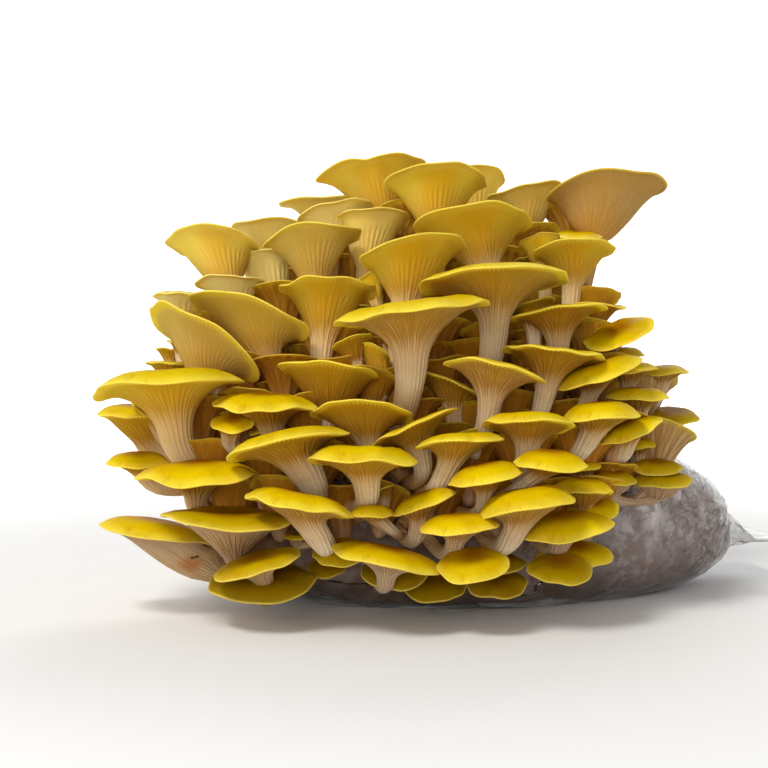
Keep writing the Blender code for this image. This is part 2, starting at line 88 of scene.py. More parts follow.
# %% [markdown]
# ## Where each mushroom is
#
# An elevation is the plainest way to set out nearly a hundred caps: each one has the two ends of its rim as seen from
# the front, how deep it stands, how far it tips towards the eye, how domed it is, and where its funnel narrows to a
# stem. Mushrooms that grew from one foot are a bunch. The table is the one that the solids were made from.

# %% The table of mushrooms, in millimetres and degrees
# left rim (across, up), right rim (across, up), depth of the cap's centre, tip towards the eye as seen,
# dome height as a share of the radius, neck (across, up, width)
MUSHROOMS = {
    "T1": ((-59, 175.5), (-18, 181.5), 14, -20, 0.03, (-33.5, 158, 9.5)),
    "T2": ((-33, 173.5), (7.5, 174.5), -15, -24, 0.03, (-13, 154, 10)),
    "T3": ((-12, 175), (15, 175), 24, -28, 0.03, (3, 155.5, 8)),
    "T4": ((-54.5, 157), (-23.5, 159.5), -10, -24, 0.03, (-41.5, 139.5, 8)),
    "T5": ((-69, 159), (-38.5, 165), -8, -18, 0.04, (-56, 143.5, 8)),
    "T6": ((-83, 149.5), (-43.5, 153.5), -28, -17, 0.03, (-62, 131.5, 10)),
    "T7": ((-76.5, 165.5), (-42, 167), 28, -9, 0.03, (-58, 149, 8)),
    "T8": ((-95, 156.5), (-64, 156.5), 10, -12, 0.04, (-79, 139.5, 8)),
    "T10": ((-121, 150), (-85, 147.5), -10, -27, 0.03, (-97, 131.5, 10)),
    "T11": ((-95, 140.5), (-69, 144.5), 0, -22, 0.03, (-77.5, 127, 9)),
    "T12": ((-110.5, 133), (-82.5, 133), -30, -17, 0.04, (-93.5, 119.5, 8)),
    "T14": ((8, 166.5), (41, 171), 6, -18, 0.03, (23, 151.5, 8)),
    "T15": ((33, 169), (79, 173), -20, -20, 0.04, (51, 151, 9)),
    "T16": ((-21, 155), (25, 158), -42, -25, 0.03, (7, 141, 13)),
    "T17": ((21, 149), (37, 152), -33, -25, 0.03, (31, 139, 6)),
    "T18": ((34.5, 152.5), (54.5, 152.5), -25, 5, 0.22, (45, 142, 7)),
    "T19": ((26.5, 145), (60, 147.5), -48, -18, 0.05, (42.5, 132, 8)),
    "T20": ((-43.5, 142), (-1.5, 149), -62, -20, 0.03, (-25, 126, 12)),
    "T21": ((-45, 132.5), (-34.5, 138), -40, -25, 0.03, (-37, 125, 5)),
    "T22": ((40, 127.5), (62.5, 128.5), -40, -22, 0.04, (51, 116.5, 7)),
    "M1": ((-53, 116.5), (7.5, 125.5), -98, -4, 0.17, (-23, 100.5, 13)),
    "M2": ((-18.5, 132), (41, 135.5), -78, -12, 0.15, (11, 117, 12)),
    "M3": ((-76.5, 131), (-37.5, 130), -54, -17, 0.07, (-59, 110, 10)),
    "M4": ((-113, 126), (-65, 111.5), -56, -20, 0.10, (-80, 106, 11)),
    "M5": ((-129, 123), (-87, 95.5), -61, -20, 0.07, (-103.5, 97, 11)),
    "M6": ((-128, 128), (-105.5, 127), -28, -12, 0.15, (-116.5, 110, 8)),
    "M7": ((-122.5, 110.5), (-107, 107), -30, 3, 0.05, (-113.5, 97, 6)),
    "M8": ((-127, 107), (-117.5, 106), -26, -5, 0.10, (-120, 98, 4)),
    "M9": ((-131, 101), (-113.5, 100.5), -36, -3, 0.10, (-121, 91, 6)),
    "L1": ((-151, 89), (-93.5, 94.5), -86, -3, 0.24, (-119, 72, 14)),
    "L2": ((-151, 81), (-123.5, 79), -52, 5, 0.28, (-128, 67.5, 10)),
    "L3": ((-148, 60.5), (-122, 61), -62, 9, 0.28, (-131, 54, 7)),
    "L4": ((-135, 54), (-86, 55.5), -93, 6, 0.24, (-111, 46, 9)),
    "L5": ((-125, 39.3), (-69, 36.3), -104, 8, 0.07, (-95, 23, 10)),
    "L6": ((-150, 35), (-105.5, 27.5), -70, 5, 0.25, (-105, 17, 12)),
    "L7": ((-103.5, 13.5), (-68.5, 23.5), -112, 12, 0.18, (-85, 17, 8)),
    "L8": ((-105.5, 11), (-62, 11.5), -96, 21, 0.15, (-83, 11.5, 8)),
    "L9": ((-137, 85), (-123, 76), -60, 8, 0.25, (-125, 71, 5)),
    "L10": ((-143, 76), (-131, 73.5), -45, -10, 0.20, (-133, 67, 5)),
    "C1": ((-103, 84), (-61.5, 83), -90, 4, 0.24, (-79, 71, 9)),
    "C2": ((-104.5, 77), (-87.5, 76.5), -92, 28, 0.20, (-97, 71, 7)),
    "C3": ((-76.5, 99), (-35, 95), -76, -12, 0.08, (-56, 83.5, 11)),
    "C4": ((-63, 81), (-23, 79), -94, -16, 0.08, (-40.5, 70, 10)),
    "C5": ((-97, 62), (-49, 73), -108, -6, 0.24, (-66, 57, 13)),
    "C6": ((-64, 61), (-20.5, 60), -118, -2, 0.32, (-41, 51, 10)),
    "C7": ((-38, 68), (-5, 82.5), -98, -3, 0.08, (-18.5, 61.5, 8)),
    "C8": ((-21, 67), (15, 70), -108, -2, 0.22, (-9, 56.5, 8)),
    "C9": ((-89, 72.5), (-77.5, 75.5), -80, 15, 0.20, (-83, 67.5, 5)),
    "C10": ((-51, 98), (-27.5, 93), -64, -20, 0.05, (-39, 85, 7)),
    "C11": ((-55, 107), (-39, 112.5), -60, -15, 0.05, (-45, 102, 6)),
    "C12": ((-45, 108), (-32, 102), -60, -30, 0.05, (-34.5, 95.5, 5)),
    "C13": ((-4, 71.5), (8.5, 72.5), -87, -20, 0.05, (3, 66, 5)),
    "R1": ((-21.5, 97), (8.5, 85), -68, -10, 0.12, (-5, 79, 8)),
    "R2": ((-9.5, 101.5), (31, 93.5), -98, -10, 0.13, (9, 83.5, 9)),
    "R3": ((15, 106.5), (55, 102.5), -86, -8, 0.07, (31.5, 87.5, 8)),
    "R4": ((18, 119), (56, 123.5), -72, -8, 0.08, (37, 107.5, 9)),
    "R5": ((48.5, 108.5), (75, 118.5), -66, 22, 0.10, (57, 105, 6)),
    "R6": ((37, 90.5), (70.5, 101.5), -80, 5, 0.30, (49.5, 87, 6.5)),
    "R7": ((57, 96.5), (77, 99), -62, 2, 0.33, (65, 91, 6)),
    "R8": ((70, 97), (90, 98), -40, 5, 0.25, (79, 91, 6)),
    "R9": ((56.5, 87), (82, 87), -66, 3, 0.32, (70, 79, 7)),
    "R10": ((73, 79.5), (94, 79.5), -35, 20, 0.20, (82, 75, 6)),
    "R11": ((39, 78), (70.5, 80), -92, 3, 0.40, (49.5, 70, 8.5)),
    "R12": ((53, 68.5), (79, 78), -78, 12, 0.28, (64, 66, 8)),
    "R13": ((61, 67), (77, 68.5), -46, 15, 0.30, (70, 62, 7)),
    "R14": ((7.5, 75.5), (43, 74.5), -102, -11, 0.30, (24.5, 66, 9)),
    "R15": ((19, 60.5), (49, 59), -116, 9, 0.36, (25, 53, 6)),
    "R16": ((-7, 51.5), (23, 57), -116, 8, 0.38, (7, 46, 6)),
    "R17": ((35, 50), (59.5, 48.5), -90, 5, 0.38, (47, 43, 7)),
    "R18": ((51, 54), (69, 53), -72, 15, 0.33, (59, 49, 6)),
    "R19": ((67, 58), (88, 58.5), -60, 15, 0.25, (76, 53, 6)),
    "R20": ((4, 38), (45, 45.5), -118, 2, 0.40, (19, 31, 9)),
    "R21": ((22, 31.5), (59.5, 35.5), -105, 15, 0.28, (38, 27, 8)),
    "R22": ((41, 41.5), (62, 42), -82, 27, 0.25, (52, 39, 6)),
    "R23": ((30, 22), (59, 23), -82, 22, 0.25, (46, 19.5, 7)),
    "R24": ((25, 17), (51, 17), -102, 30, 0.22, (36, 15.5, 7)),
    "R25": ((-11.5, 16.5), (17, 20), -120, 28, 0.32, (2.5, 16.5, 7)),
    "R26": ((-5.5, 18), (24, 19), -90, 16, 0.22, (13, 17, 7)),
    "R27": ((-26, 10), (0, 11), -86, 33, 0.20, (-13, 10, 6)),
    "R28": ((1, 10), (24, 11), -100, 32, 0.20, (12, 10, 6)),
    "R30": ((40, 123), (64, 124), -50, -8, 0.08, (51, 110, 6)),
    "R31": ((17, 121), (35.5, 127), -62, -15, 0.05, (27, 114, 6)),
    "R32": ((55, 104), (72, 104.5), -42, 3, 0.38, (63, 99.5, 5)),
    "R33": ((40, 58), (54.5, 59.5), -78, 15, 0.25, (47, 55, 5)),
    "R34": ((68, 53), (92, 53), -62, 12, 0.27, (78, 47.5, 6)),
    "B1": ((-19, 32.5), (12.5, 34.5), -120, 7, 0.36, (-5, 27, 7)),
    "B2": ((-30, 39), (-5, 48), -110, 6, 0.35, (-20, 33, 7)),
    "B3": ((-48.5, 39), (-29.5, 39), -112, 5, 0.42, (-34, 35, 5)),
    "B4": ((-54.5, 25.5), (-11, 16), -116, 8, 0.20, (-33, 13, 7)),
    "B5": ((-43, 16), (-16, 16), -92, 35, 0.20, (-29.5, 15, 6)),
    "B6": ((-63, 23), (-39, 24.5), -100, 28, 0.20, (-51, 22, 6)),
    "B7": ((-65, 17), (-50, 18), -83, 35, 0.20, (-57.5, 16, 5)),
    "B8": ((-91, 47), (-48, 38), -120, 1, 0.28, (-61.5, 31.5, 10)),
    "B9": ((-75, 30), (-65, 30), -88, 15, 0.20, (-70, 27, 4)),
    "B10": ((-37, 48), (-29.5, 51), -88, -10, 0.05, (-34, 43, 4)),
}

# Mushrooms that grew from one foot: the first one carries the others. The rest stand alone.
BUNCHES = [names.split() for names in (
    "T1 T7", "T2 T3", "T4 T5", "T10 T8 T12 T11", "T14 T17", "T15 T18", "T19 T22 R30", "T20 T21", "M6 M7 M8 M9",
    "L2 L9 L10 L3", "L5 L8 L7", "C1 C2 C9", "C3 C10 C11 C12", "C6 B10", "R2 C13", "R4 R31", "R6 R7 R32 R9 R8 R5",
    "R10 R13", "R34 R18 R19", "R11 R33", "R17 R22", "R21 R24 R23", "R25 R26 R28", "B4 B5 R27", "B8 B9 B6 B7",
    "B2 B3",
)]

# %% [markdown]
# ## How one mushroom stands
#
# An oyster mushroom is a bent stem that opens into a one-sided funnel. Its frame is worked out from what is drawn:
# the rim's two ends give the cap's width and direction, the tip gives its axis, and the stem is a curve that leaves the
# block square to its surface and arrives at the neck in the funnel's direction. The foot is found by aiming from the
# block's core at the neck, which is how the stems of a cluster really fan out of one cut.

# %% The proportions that the solids and this script share
BLOCK_HALF_LENGTH = 116 * MM
BLOCK_HALF_DEPTH = 64 * MM
BLOCK_HEIGHT = 73 * MM
SLUMP = 7 * MM
BLOCK_YAW = math.radians(14)
BLOCK_CENTRE = Vector((8 * MM, -2 * MM, 0))
CORE_HEIGHT = 32 * MM
CORE_LEFT_END = -80 * MM
CORE_RIGHT_END = 31 * MM
LOWEST_ROOT_SLOPE = -0.16
MOST_RIGHTWARDS = 0.2

ROWS = {"T": "top", "M": "middle", "L": "left", "C": "centre", "R": "right", "B": "bottom"}
FAR_SHARES = ((10, 0.9), (-8, 0.75), (-90, 0.68))  # far side against near side, by least tip in degrees
FAN_TIP = math.radians(-20)  # a cap that leans back this far has the straight sides of a fan
ROUND_TIP = math.radians(-8)  # and one that leans less than this flares like a trumpet
FAN_FLARE = 0.5
NECK_BACK = 0.3
LEAST_FUNNEL = 0.42
STEM_WAIST = 0.78
FOOT_SPREAD = 0.76
BRANCHES_AT = 0.26
BRANCH_RADIUS = 0.5
GROWN = 1.04  # the smooth rims reach this much further than the solids' facets
TURNS_BELOW_NECK = 0.34
CLEAR_OF_GROUND = 5 * MM
KEEPS_OFF_BLOCK = 5 * MM


def tree_of(node):
    """A search tree over a solid's triangles."""
    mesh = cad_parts[node].data
    corners = [vertex.co for vertex in mesh.vertices]
    return BVHTree.FromPolygons(corners, [tuple(face.vertices) for face in mesh.polygons])


block_tree = tree_of("substrate_block")


# %% From the drawing to the stem and the cap
def seen(across, up, depth):
    """The point at a depth, on the sight line through a point of the drawing."""
    share = (depth - EYE.y) / (DRAWN_AT - EYE.y)
    return Vector((EYE.x + (across - EYE.x) * share, depth, EYE.z + (up - EYE.z) * share))


def root_below(neck):
    """Where the way from the block's core to a neck leaves the block, and how the block faces there."""
    lengthways = Matrix.Rotation(BLOCK_YAW, 3, "Z") @ Vector((1, 0, 0))
    core = BLOCK_CENTRE + Vector((0, 0, CORE_HEIGHT))
    along = max(CORE_LEFT_END, min(CORE_RIGHT_END, (neck - core).dot(lengthways)))
    target = core + lengthways * along
    way = neck - target
    way.z = max(way.z, LOWEST_ROOT_SLOPE * way.xy.length)
    sideways = way.dot(lengthways)
    outwards = way - lengthways * sideways
    way = outwards + lengthways * min(sideways, MOST_RIGHTWARDS * outwards.length)
    point, normal, _, _ = block_tree.ray_cast(target + way.normalized() * BLOCK_HALF_LENGTH, -way)
    return point, normal


class Growth:
    """Where one mushroom's cap, neck, bend and foot are."""

    def __init__(self, row, lead=None, flare=None):
        left, right, depth, tip, self.dome, (neck, neck_up, neck_width) = row
        self.far_share = next(share for least, share in FAR_SHARES if tip >= least)
        self.tip = tip
        tip = math.radians(tip)
        roundness = max(0.0, min(1.0, (tip - FAN_TIP) / (ROUND_TIP - FAN_TIP)))
        self.flare = flare or FAN_FLARE + (1 - FAN_FLARE) * roundness
        left, right = (seen(across * MM, up * MM, depth * MM) for across, up in (left, right))
        self.centre = (left + right) / 2
        self.radius = (right - left).length / 2 * GROWN
        self.across = (right - left).normalized()
        sight = self.centre - EYE
        sight = (sight - self.across * sight.dot(self.across)).normalized()
        lift = self.across.cross(sight)
        self.away = sight * math.cos(tip) + lift * math.sin(tip)
        self.axis = self.across.cross(self.away)

        drop = self.centre.z - neck_up * MM
        neck_depth = self.centre.y + drop * math.tan(tip) + NECK_BACK * self.radius
        self.neck = seen(neck * MM, neck_up * MM, neck_depth)
        self.neck_radius = neck_width * MM / 2
        short = LEAST_FUNNEL * self.radius - (self.centre - self.neck).dot(self.axis)
        if short > 0:
            self.neck -= self.axis * short
        self.rise = (self.centre - self.neck).normalized()
        self.foot_radius = self.neck_radius * FOOT_SPREAD
        if lead:
            self.foot = lead.branch()
            self.foot_normal = (self.neck - self.foot).normalized()
            self.foot_radius = BRANCH_RADIUS * min(lead.neck_radius, self.neck_radius)
        else:
            self.foot, self.foot_normal = root_below(self.neck)
        way = self.neck - self.foot
        self.bend = self.neck - self.rise * way.length * TURNS_BELOW_NECK
        self.bend.z = max(self.bend.z, CLEAR_OF_GROUND)
        nearest, facing, _, _ = block_tree.find_nearest(self.bend)
        short = KEEPS_OFF_BLOCK + self.neck_radius - (self.bend - nearest).dot(facing)
        if short > 0:
            self.bend += facing * short

    def branch(self):
        """Where the others of a bunch leave this stem."""
        share = BRANCHES_AT
        back = 1 - share
        return self.foot * back * back + self.bend * 2 * back * share + self.neck * share * share


# %% [markdown]
# Behind the caps that show there are more, younger ones, which close the gaps: through a real cluster this dense no
# light passes. They stand on a staggered grid a thumb's width behind the outer caps, each a little out of place. Near
# the outside, single ones close the last gaps.

# %% The young mushrooms inside the cluster
INNER_LEVELS = (  # height, leftmost, rightmost, depth, all in millimetres
    (50, -96, 60, -74), (66, -112, 66, -74), (82, -108, 68, -64), (98, -104, 66, -52), (114, -98, 58, -42),
    (130, -84, 44, -22), (145, -70, 36, 2),
    (58, -100, 60, -58), (74, -112, 64, -54), (90, -106, 66, -44), (106, -100, 60, -32), (122, -92, 50, -18),
    (138, -58, 40, 4),
    (154, 12, 36, -2), (138, 36, 50, -14), (91, 62, 76, -32), (72, 76, 90, -34),
    (165, 34, 50, 6), (160, -24, -10, 6),
)
FILLS_FROM = 13  # from this level on: single ones near the outside, in as much light as the outer caps
INNER_GAP = 21.0  # millimetres between neighbours on one level
ASTRAY = (3, 5, 4)  # how far one may stand out of place, in millimetres across, in depth and up
YOUNG_HALF_WIDTH = (12, 16.5)
YOUNG_SLOPE = 3
YOUNG_TIP = (-26, -12)
YOUNG_DOME = 0.08
NECK_BELOW = 3
NECK_SHARE = 0.5


def inner_rows():
    """Rows like those of the table, for the young mushrooms: level by level, from left to right, slightly astray."""
    chance = np.random.default_rng(8)
    rows, levels = {}, {}
    for level, (up, leftmost, rightmost, depth) in enumerate(INNER_LEVELS):
        for across in np.arange(leftmost + (level % 2) * INNER_GAP / 2, rightmost, INNER_GAP):
            x, y, z = (place + chance.uniform(-far, far) for place, far in zip((across, depth, up), ASTRAY))
            half, slope = chance.uniform(*YOUNG_HALF_WIDTH), chance.uniform(-YOUNG_SLOPE, YOUNG_SLOPE)
            neck = (x + chance.uniform(-2, 2), z - half - NECK_BELOW, half * NECK_SHARE)
            tip = chance.uniform(*YOUNG_TIP)
            key = f"Y{len(rows) + 1}"
            rows[key] = ((x - half, z - slope), (x + half, z + slope), y, tip, YOUNG_DOME, neck)
            levels[key] = level
    return rows, levels


# The flare of the caps that are deeper bowls than their tip would make them
BOWLS = {"L6": 0.42, "L5": 0.6, "L2": 0.6, "R34": 0.35, "R18": 0.35, "R19": 0.35, "R22": 0.4, "R17": 0.5,
         "C3": 0.42, "C4": 0.55, "C10": 0.4, "C11": 0.4, "M4": 0.6, "M5": 0.6, "M3": 0.6, "C12": 0.4, "C13": 0.4,
         "T15": 0.38}
bunch_of = {member: bunch for bunch in BUNCHES for member in bunch}
growths = {}
inner_table, inner = inner_rows()
for key, row in inner_table.items():
    growths[key] = Growth(row)
for key, row in MUSHROOMS.items():
    bunch = bunch_of.get(key, (key,))
    growths[key] = Growth(row, Growth(MUSHROOMS[bunch[0]]) if bunch[0] != key else None, BOWLS.get(key))
widest = max(growth.radius for growth in growths.values())
print(len(growths), "mushrooms, the widest", round(2000 * widest), "mm")

# %% [markdown]
# ## One mushroom as one surface
#
# A cap and its stem could be lathed and bent, but the gills would be missing, and gills are what this view is made of.
# So each mushroom is one grid: the columns go round it, two for each gill, and the rows go from the foot up the stem,
# out under the cap, over the thin margin and in to the sunken middle of the top. Every second column is a gill's
# crest. Only every fourth gill runs down the stem, the others start further out, as the short gills of the real one do.

# %% Helpers for smooth functions
STEM_ROWS = 7
FUNNEL_ROWS = 15
MARGIN_ROWS = 3
TOP_ROWS = 6
GILL_SPACING = 1.95 * MM  # along the rim
FEWEST_GILLS = 16
MOST_GILLS = 96
MARGIN = 0.26 * MM  # half the thickness of the cap's edge, on a large cap, on top of the least
LEAST_MARGIN = 0.12 * MM
LARGE_CAP = 20 * MM
CROWN = 0.06  # the radius of the last ring on top, as a share
DISH = 0.10  # how deep the middle of the top is, as a share of the radius
DISH_WIDTH = 0.42
SUNK = 2.5 * MM  # a stem starts this far inside what it grows from


def ease(low, high, value):
    """A smooth step: 0 up to low, 1 from high, with no kink at either."""
    share = np.clip((value - low) / (high - low), 0, 1)
    return share * share * (3 - 2 * share)


def column(vector):
    return np.array(vector)[None, :]


def unit(vectors):
    return vectors / np.linalg.norm(vectors, axis=-1, keepdims=True)


def turned(vector, start, ends):
    """A vector turned along with the shortest turn from one unit vector to each of several others."""
    swing = np.cross(start, ends)
    once = np.cross(swing, vector)
    return vector + once + np.cross(swing, once) / (1 + ends @ np.array(start))[:, None]


def between(start, end, share):
    """Directions on the great circle from one unit vector to another, at each share of the way."""
    angle = math.acos(max(-1.0, min(1.0, start.dot(end))))
    if angle < 1e-4:
        return np.repeat(column(end), len(share), axis=0)
    first = np.sin((1 - share) * angle)[:, None] * column(start)
    return (first + np.sin(share * angle)[:, None] * column(end)) / math.sin(angle)


# %% The rows of a mushroom, from its foot to the middle of its cap
def profile(growth):
    """Each row's centre, facing, radius, share of the cap's width, lift along the axis and place along the surface.

    The stem is a quadratic curve from foot to neck. The funnel's centre rises by the sine of an angle that goes from 0
    to 90 degrees while its radius grows by (1 - cosine) to the power of the flare, and it turns from the stem's
    direction to the cap's axis. The margin is half a circle. The top is a dome that falls by the 3rd power of the way
    to the rim, with a shallow dish in the middle.
    """
    radius = growth.radius
    edge = MARGIN * min(1.0, radius / LARGE_CAP) + LEAST_MARGIN
    up = np.linspace(0, 1, STEM_ROWS, endpoint=False)
    back = 1 - up
    foot = np.array(growth.foot - growth.foot_normal * SUNK)
    bend, neck = np.array(growth.bend), np.array(growth.neck)
    stem = foot * (back * back)[:, None] + bend * (2 * back * up)[:, None] + neck * (up * up)[:, None]
    facing = unit((bend - foot) * back[:, None] + (neck - bend) * up[:, None])
    waist = growth.neck_radius * STEM_WAIST
    width = growth.foot_radius * back * (1 - 2 * up) + waist * 4 * up * back + growth.neck_radius * up * (2 * up - 1)

    angle = np.linspace(0, math.pi / 2, FUNNEL_ROWS)
    opened = (1 - np.cos(angle)) ** growth.flare
    throat = neck + (np.array(growth.centre) - neck) * np.sin(angle)[:, None]
    throat_facing = between(growth.rise, growth.axis, 1 - (1 - np.sin(angle)) ** 2)
    throat_width = growth.neck_radius + (radius - edge - growth.neck_radius) * opened

    around_edge = np.linspace(-math.pi / 2, math.pi / 2, MARGIN_ROWS + 2)[1:-1]
    inwards = np.linspace(1, CROWN, TOP_ROWS) ** 0.8
    dish = DISH * (1 - 0.75 * float(ease(-4, 6, growth.tip)))
    height = growth.dome * radius * (1 - inwards**3) - dish * radius * np.exp(-((inwards / DISH_WIDTH) ** 2))

    def joined(stem_part, funnel_part, margin_part, top_part):
        return np.concatenate([stem_part, funnel_part, margin_part, top_part])

    rim = np.repeat(column(growth.centre), MARGIN_ROWS, axis=0)
    top = np.repeat(column(growth.centre), TOP_ROWS, axis=0)
    centres = joined(stem, throat, rim, top)
    facings = joined(facing, throat_facing, 0 * rim + column(growth.axis), 0 * top + column(growth.axis))
    radii = joined(width, throat_width, radius - edge + edge * np.cos(around_edge), (radius - edge) * inwards)
    shares = joined(0 * up, opened, 0 * around_edge + 1, inwards)
    lifts = joined(0 * up, -edge * opened**3, edge * np.sin(around_edge), edge + height)
    places = joined(up, 1 + opened, 2 + 0 * around_edge, 3 - inwards)
    return centres, facings, radii, shares, lifts, places


# %% The whole surface of a mushroom
WAVE = 0.017  # how far the rim waves up and down, as a share of the radius, for each of its waves
WAVES = range(2, 9)
LOBE = 0.015  # and in and out
LOBES = range(2, 11)
CURL = 0.012  # how far the cap stands above its rolled-in margin
DROOP = 0.012  # how far the near side of the rim hangs, as a share of the radius
GILL_HEIGHT = 0.42  # as a share of the gap between gills
TALLEST_GILL = 1.3 * MM
YOUNG_GILLS_APART = 3  # a young mushroom that hardly shows has a third of the gills
FAINT = {"L6": 0.35, "L1": 0.7, "L5": 0.8}  # gills that hardly stand out


def rim_waves(chance, around, counts):
    """A sum of cosines with so many waves round the rim each, lower the more waves they have."""
    waves = [(count, chance.normal(0, 1), chance.uniform(0, 2 * math.pi)) for count in counts]
    return sum(size * np.cos(count * around + start) / (count / 3) for count, size, start in waves)


def rim_marks(key, around):
    """What is special about one rim: how far it reaches out of round, as a share of the radius, at each angle."""
    reach = 0 * around
    for angle, height, width in MARKS.get(key, ()):
        off = (around - math.radians(angle) + math.pi) % (2 * math.pi) - math.pi
        reach = reach + height * np.exp(-((off / math.radians(width)) ** 2))
    return reach


def mushroom(key):
    """Grid of points (row, column, xyz), with the place along the surface for each row and the number of gills.

    Each row is a circle round its centre, flattened on the far side, with sine waves in and out and up and down that
    grow with the square of the way to the rim. Then the gills stand out along the surface's own normals.
    """
    growth = growths[key]
    chance = np.random.default_rng(int(key[1:]) + 100 * "TMLCRBY".index(key[0]))
    centres, facings, radii, shares, lifts, places = profile(growth)
    rim_length = 2 * math.pi * growth.radius
    spacing = GILL_SPACING * (YOUNG_GILLS_APART if key in inner else 1)
    gills = int(max(FEWEST_GILLS, min(MOST_GILLS, 4 * round(rim_length / spacing / 4))))
    around = np.arange(2 * gills) * math.pi / gills

    across = turned(np.array(growth.across), np.array(growth.axis), facings)
    away = turned(np.array(growth.away), np.array(growth.axis), facings)
    wavy = WAVE * rim_waves(chance, around, WAVES)
    lobed = LOBE * rim_waves(chance, around, LOBES) + rim_marks(key, around)

    far = np.where(np.sin(around) > 0, 1 + (growth.far_share - 1) * shares[:, None], 1.0)
    stretch = radii[:, None] * (1 + lobed * shares[:, None] ** 2)
    points = centres[:, None, :] + stretch[..., None] * (
        np.cos(around)[None, :, None] * across[:, None, :]
        + (np.sin(around)[None, :] * far)[..., None] * away[:, None, :]
    )
    curl = CURL * chance.uniform(0.4, 1.6)
    rolled = curl * growth.radius * ease(0.3, 0.7, shares) * (1 - ease(0.82, 1.0, shares))
    droop = DROOP * np.clip(-np.sin(around), 0, 1) ** 1.5
    raised = lifts[:, None] + rolled[:, None] + growth.radius * (wavy - droop) * shares[:, None] ** 2
    points = points + raised[..., None] * column(growth.axis)[None]

    ahead = np.roll(points, -1, axis=1) - np.roll(points, 1, axis=1)
    outwards = unit(np.cross(ahead, np.gradient(points, axis=0)))
    points = points + gill_heights(gills, radii, places)[..., None] * outwards * FAINT.get(key, 1.0)
    return points, places, gills


def gill_heights(gills, radii, places):
    """How far each point of the underside stands out.

    Crests and valleys alternate. The height follows the gap between the gills that are there at that place, and fades
    out on the stem and just before the margin. Long gills run down the stem, middling and short ones start further out.
    """
    gap = 2 * math.pi * radii / gills
    spread = 4 - 2 * ease(1.05, 1.25, places) - ease(1.4, 1.65, places)
    height = np.minimum(GILL_HEIGHT * gap * spread, TALLEST_GILL)
    height = height * (0.15 * ease(0.1, 0.8, places) + 0.85 * ease(0.85, 1.3, places)) * (1 - ease(1.96, 2.0, places))
    kind = np.arange(2 * gills) % 8
    start = np.select([kind == 0, kind == 4, kind % 2 == 0], [0.0, 1.05, 1.4], 9.0)
    there = ease(start[None, :], start[None, :] + 0.22, places[:, None])
    return height[:, None] * (there - 0.4)


# Rims that are out of round in the photograph's own way: angle from the right end, by way of the far side; height as a
# share of the radius; width in degrees
MARKS = {
    "T1": ((180, 0.07, 14), (262, -0.13, 10), (90, -0.05, 40)),
    "T10": ((180, 0.10, 16),),
    "T15": ((352, 0.05, 14),),
    "B8": ((270, -0.09, 40),),
    "C8": ((288, -0.12, 8), (75, -0.08, 14)),
    "L1": ((205, -0.04, 8), (230, 0.03, 10)),
    "M2": ((318, -0.03, 7),),
    "R2": ((300, -0.03, 9),),
    "L7": ((250, -0.04, 9),),
}
shape, _, count = mushroom("M1")
print("the front cap has", count, "gills and", shape.shape[0], "rows")

# %% [markdown]
# ## From grids to pieces
#
# A grid becomes a mesh in one go: the points and the faces are whole arrays, and a fan at the foot and at the middle of
# the top closes it. The mushrooms of one bunch share a foot, so they go into one piece together. Each corner also gets
# the place on the surface that it belongs to, which is how the paint later finds gills, rim and stem.

# %% A piece from one or more closed grids
def grid_mesh(points, places, first):
    """Triangles and quads of a closed grid, counted from a first vertex, with (turn, place) for each corner."""
    rows, columns = points.shape[:2]
    index = first + np.arange(rows * columns).reshape(rows, columns)
    beside = np.roll(index, -1, axis=1)
    quads = np.stack([index[:-1], beside[:-1], beside[1:], index[1:]], axis=-1).reshape(-1, 4)
    foot, crown = first + rows * columns, first + rows * columns + 1
    fan_down = np.stack([0 * index[0] + foot, beside[0], index[0]], axis=-1)
    fan_up = np.stack([index[-1], beside[-1], 0 * index[-1] + crown], axis=-1)

    here = np.broadcast_to(np.arange(columns) / columns, (rows, columns))
    there = here + 1 / columns
    level = np.broadcast_to(places[:, None], (rows, columns))
    quad_map = [(here[:-1], level[:-1]), (there[:-1], level[:-1]), (there[1:], level[1:]), (here[1:], level[1:])]
    down_map = [(here[0], level[0] - 0.01), (there[0], level[0]), (here[0], level[0])]
    up_map = [(here[-1], level[-1]), (there[-1], level[-1]), (here[-1], level[-1] + 0.05)]

    def corners(pairs):
        return np.stack([np.stack(pair, axis=-1) for pair in pairs], axis=-2).reshape(-1, 2)

    vertices = np.concatenate([points.reshape(-1, 3), points[0].mean(axis=0)[None], points[-1].mean(axis=0)[None]])
    return vertices, (quads, fan_down, fan_up), (corners(quad_map), corners(down_map), corners(up_map))


def new_object(name, mesh, material):
    """An object in the scene with this mesh and material."""
    mesh.shade_smooth()
    mesh.materials.append(material)
    return in_scene(name, mesh)


def mark(mesh, label, numbers):
    """Keeps a number for each vertex, which the paint reads by its name."""
    mesh.attributes.new(label, "FLOAT", "POINT").data.foreach_set("value", np.asarray(numbers, np.float32))


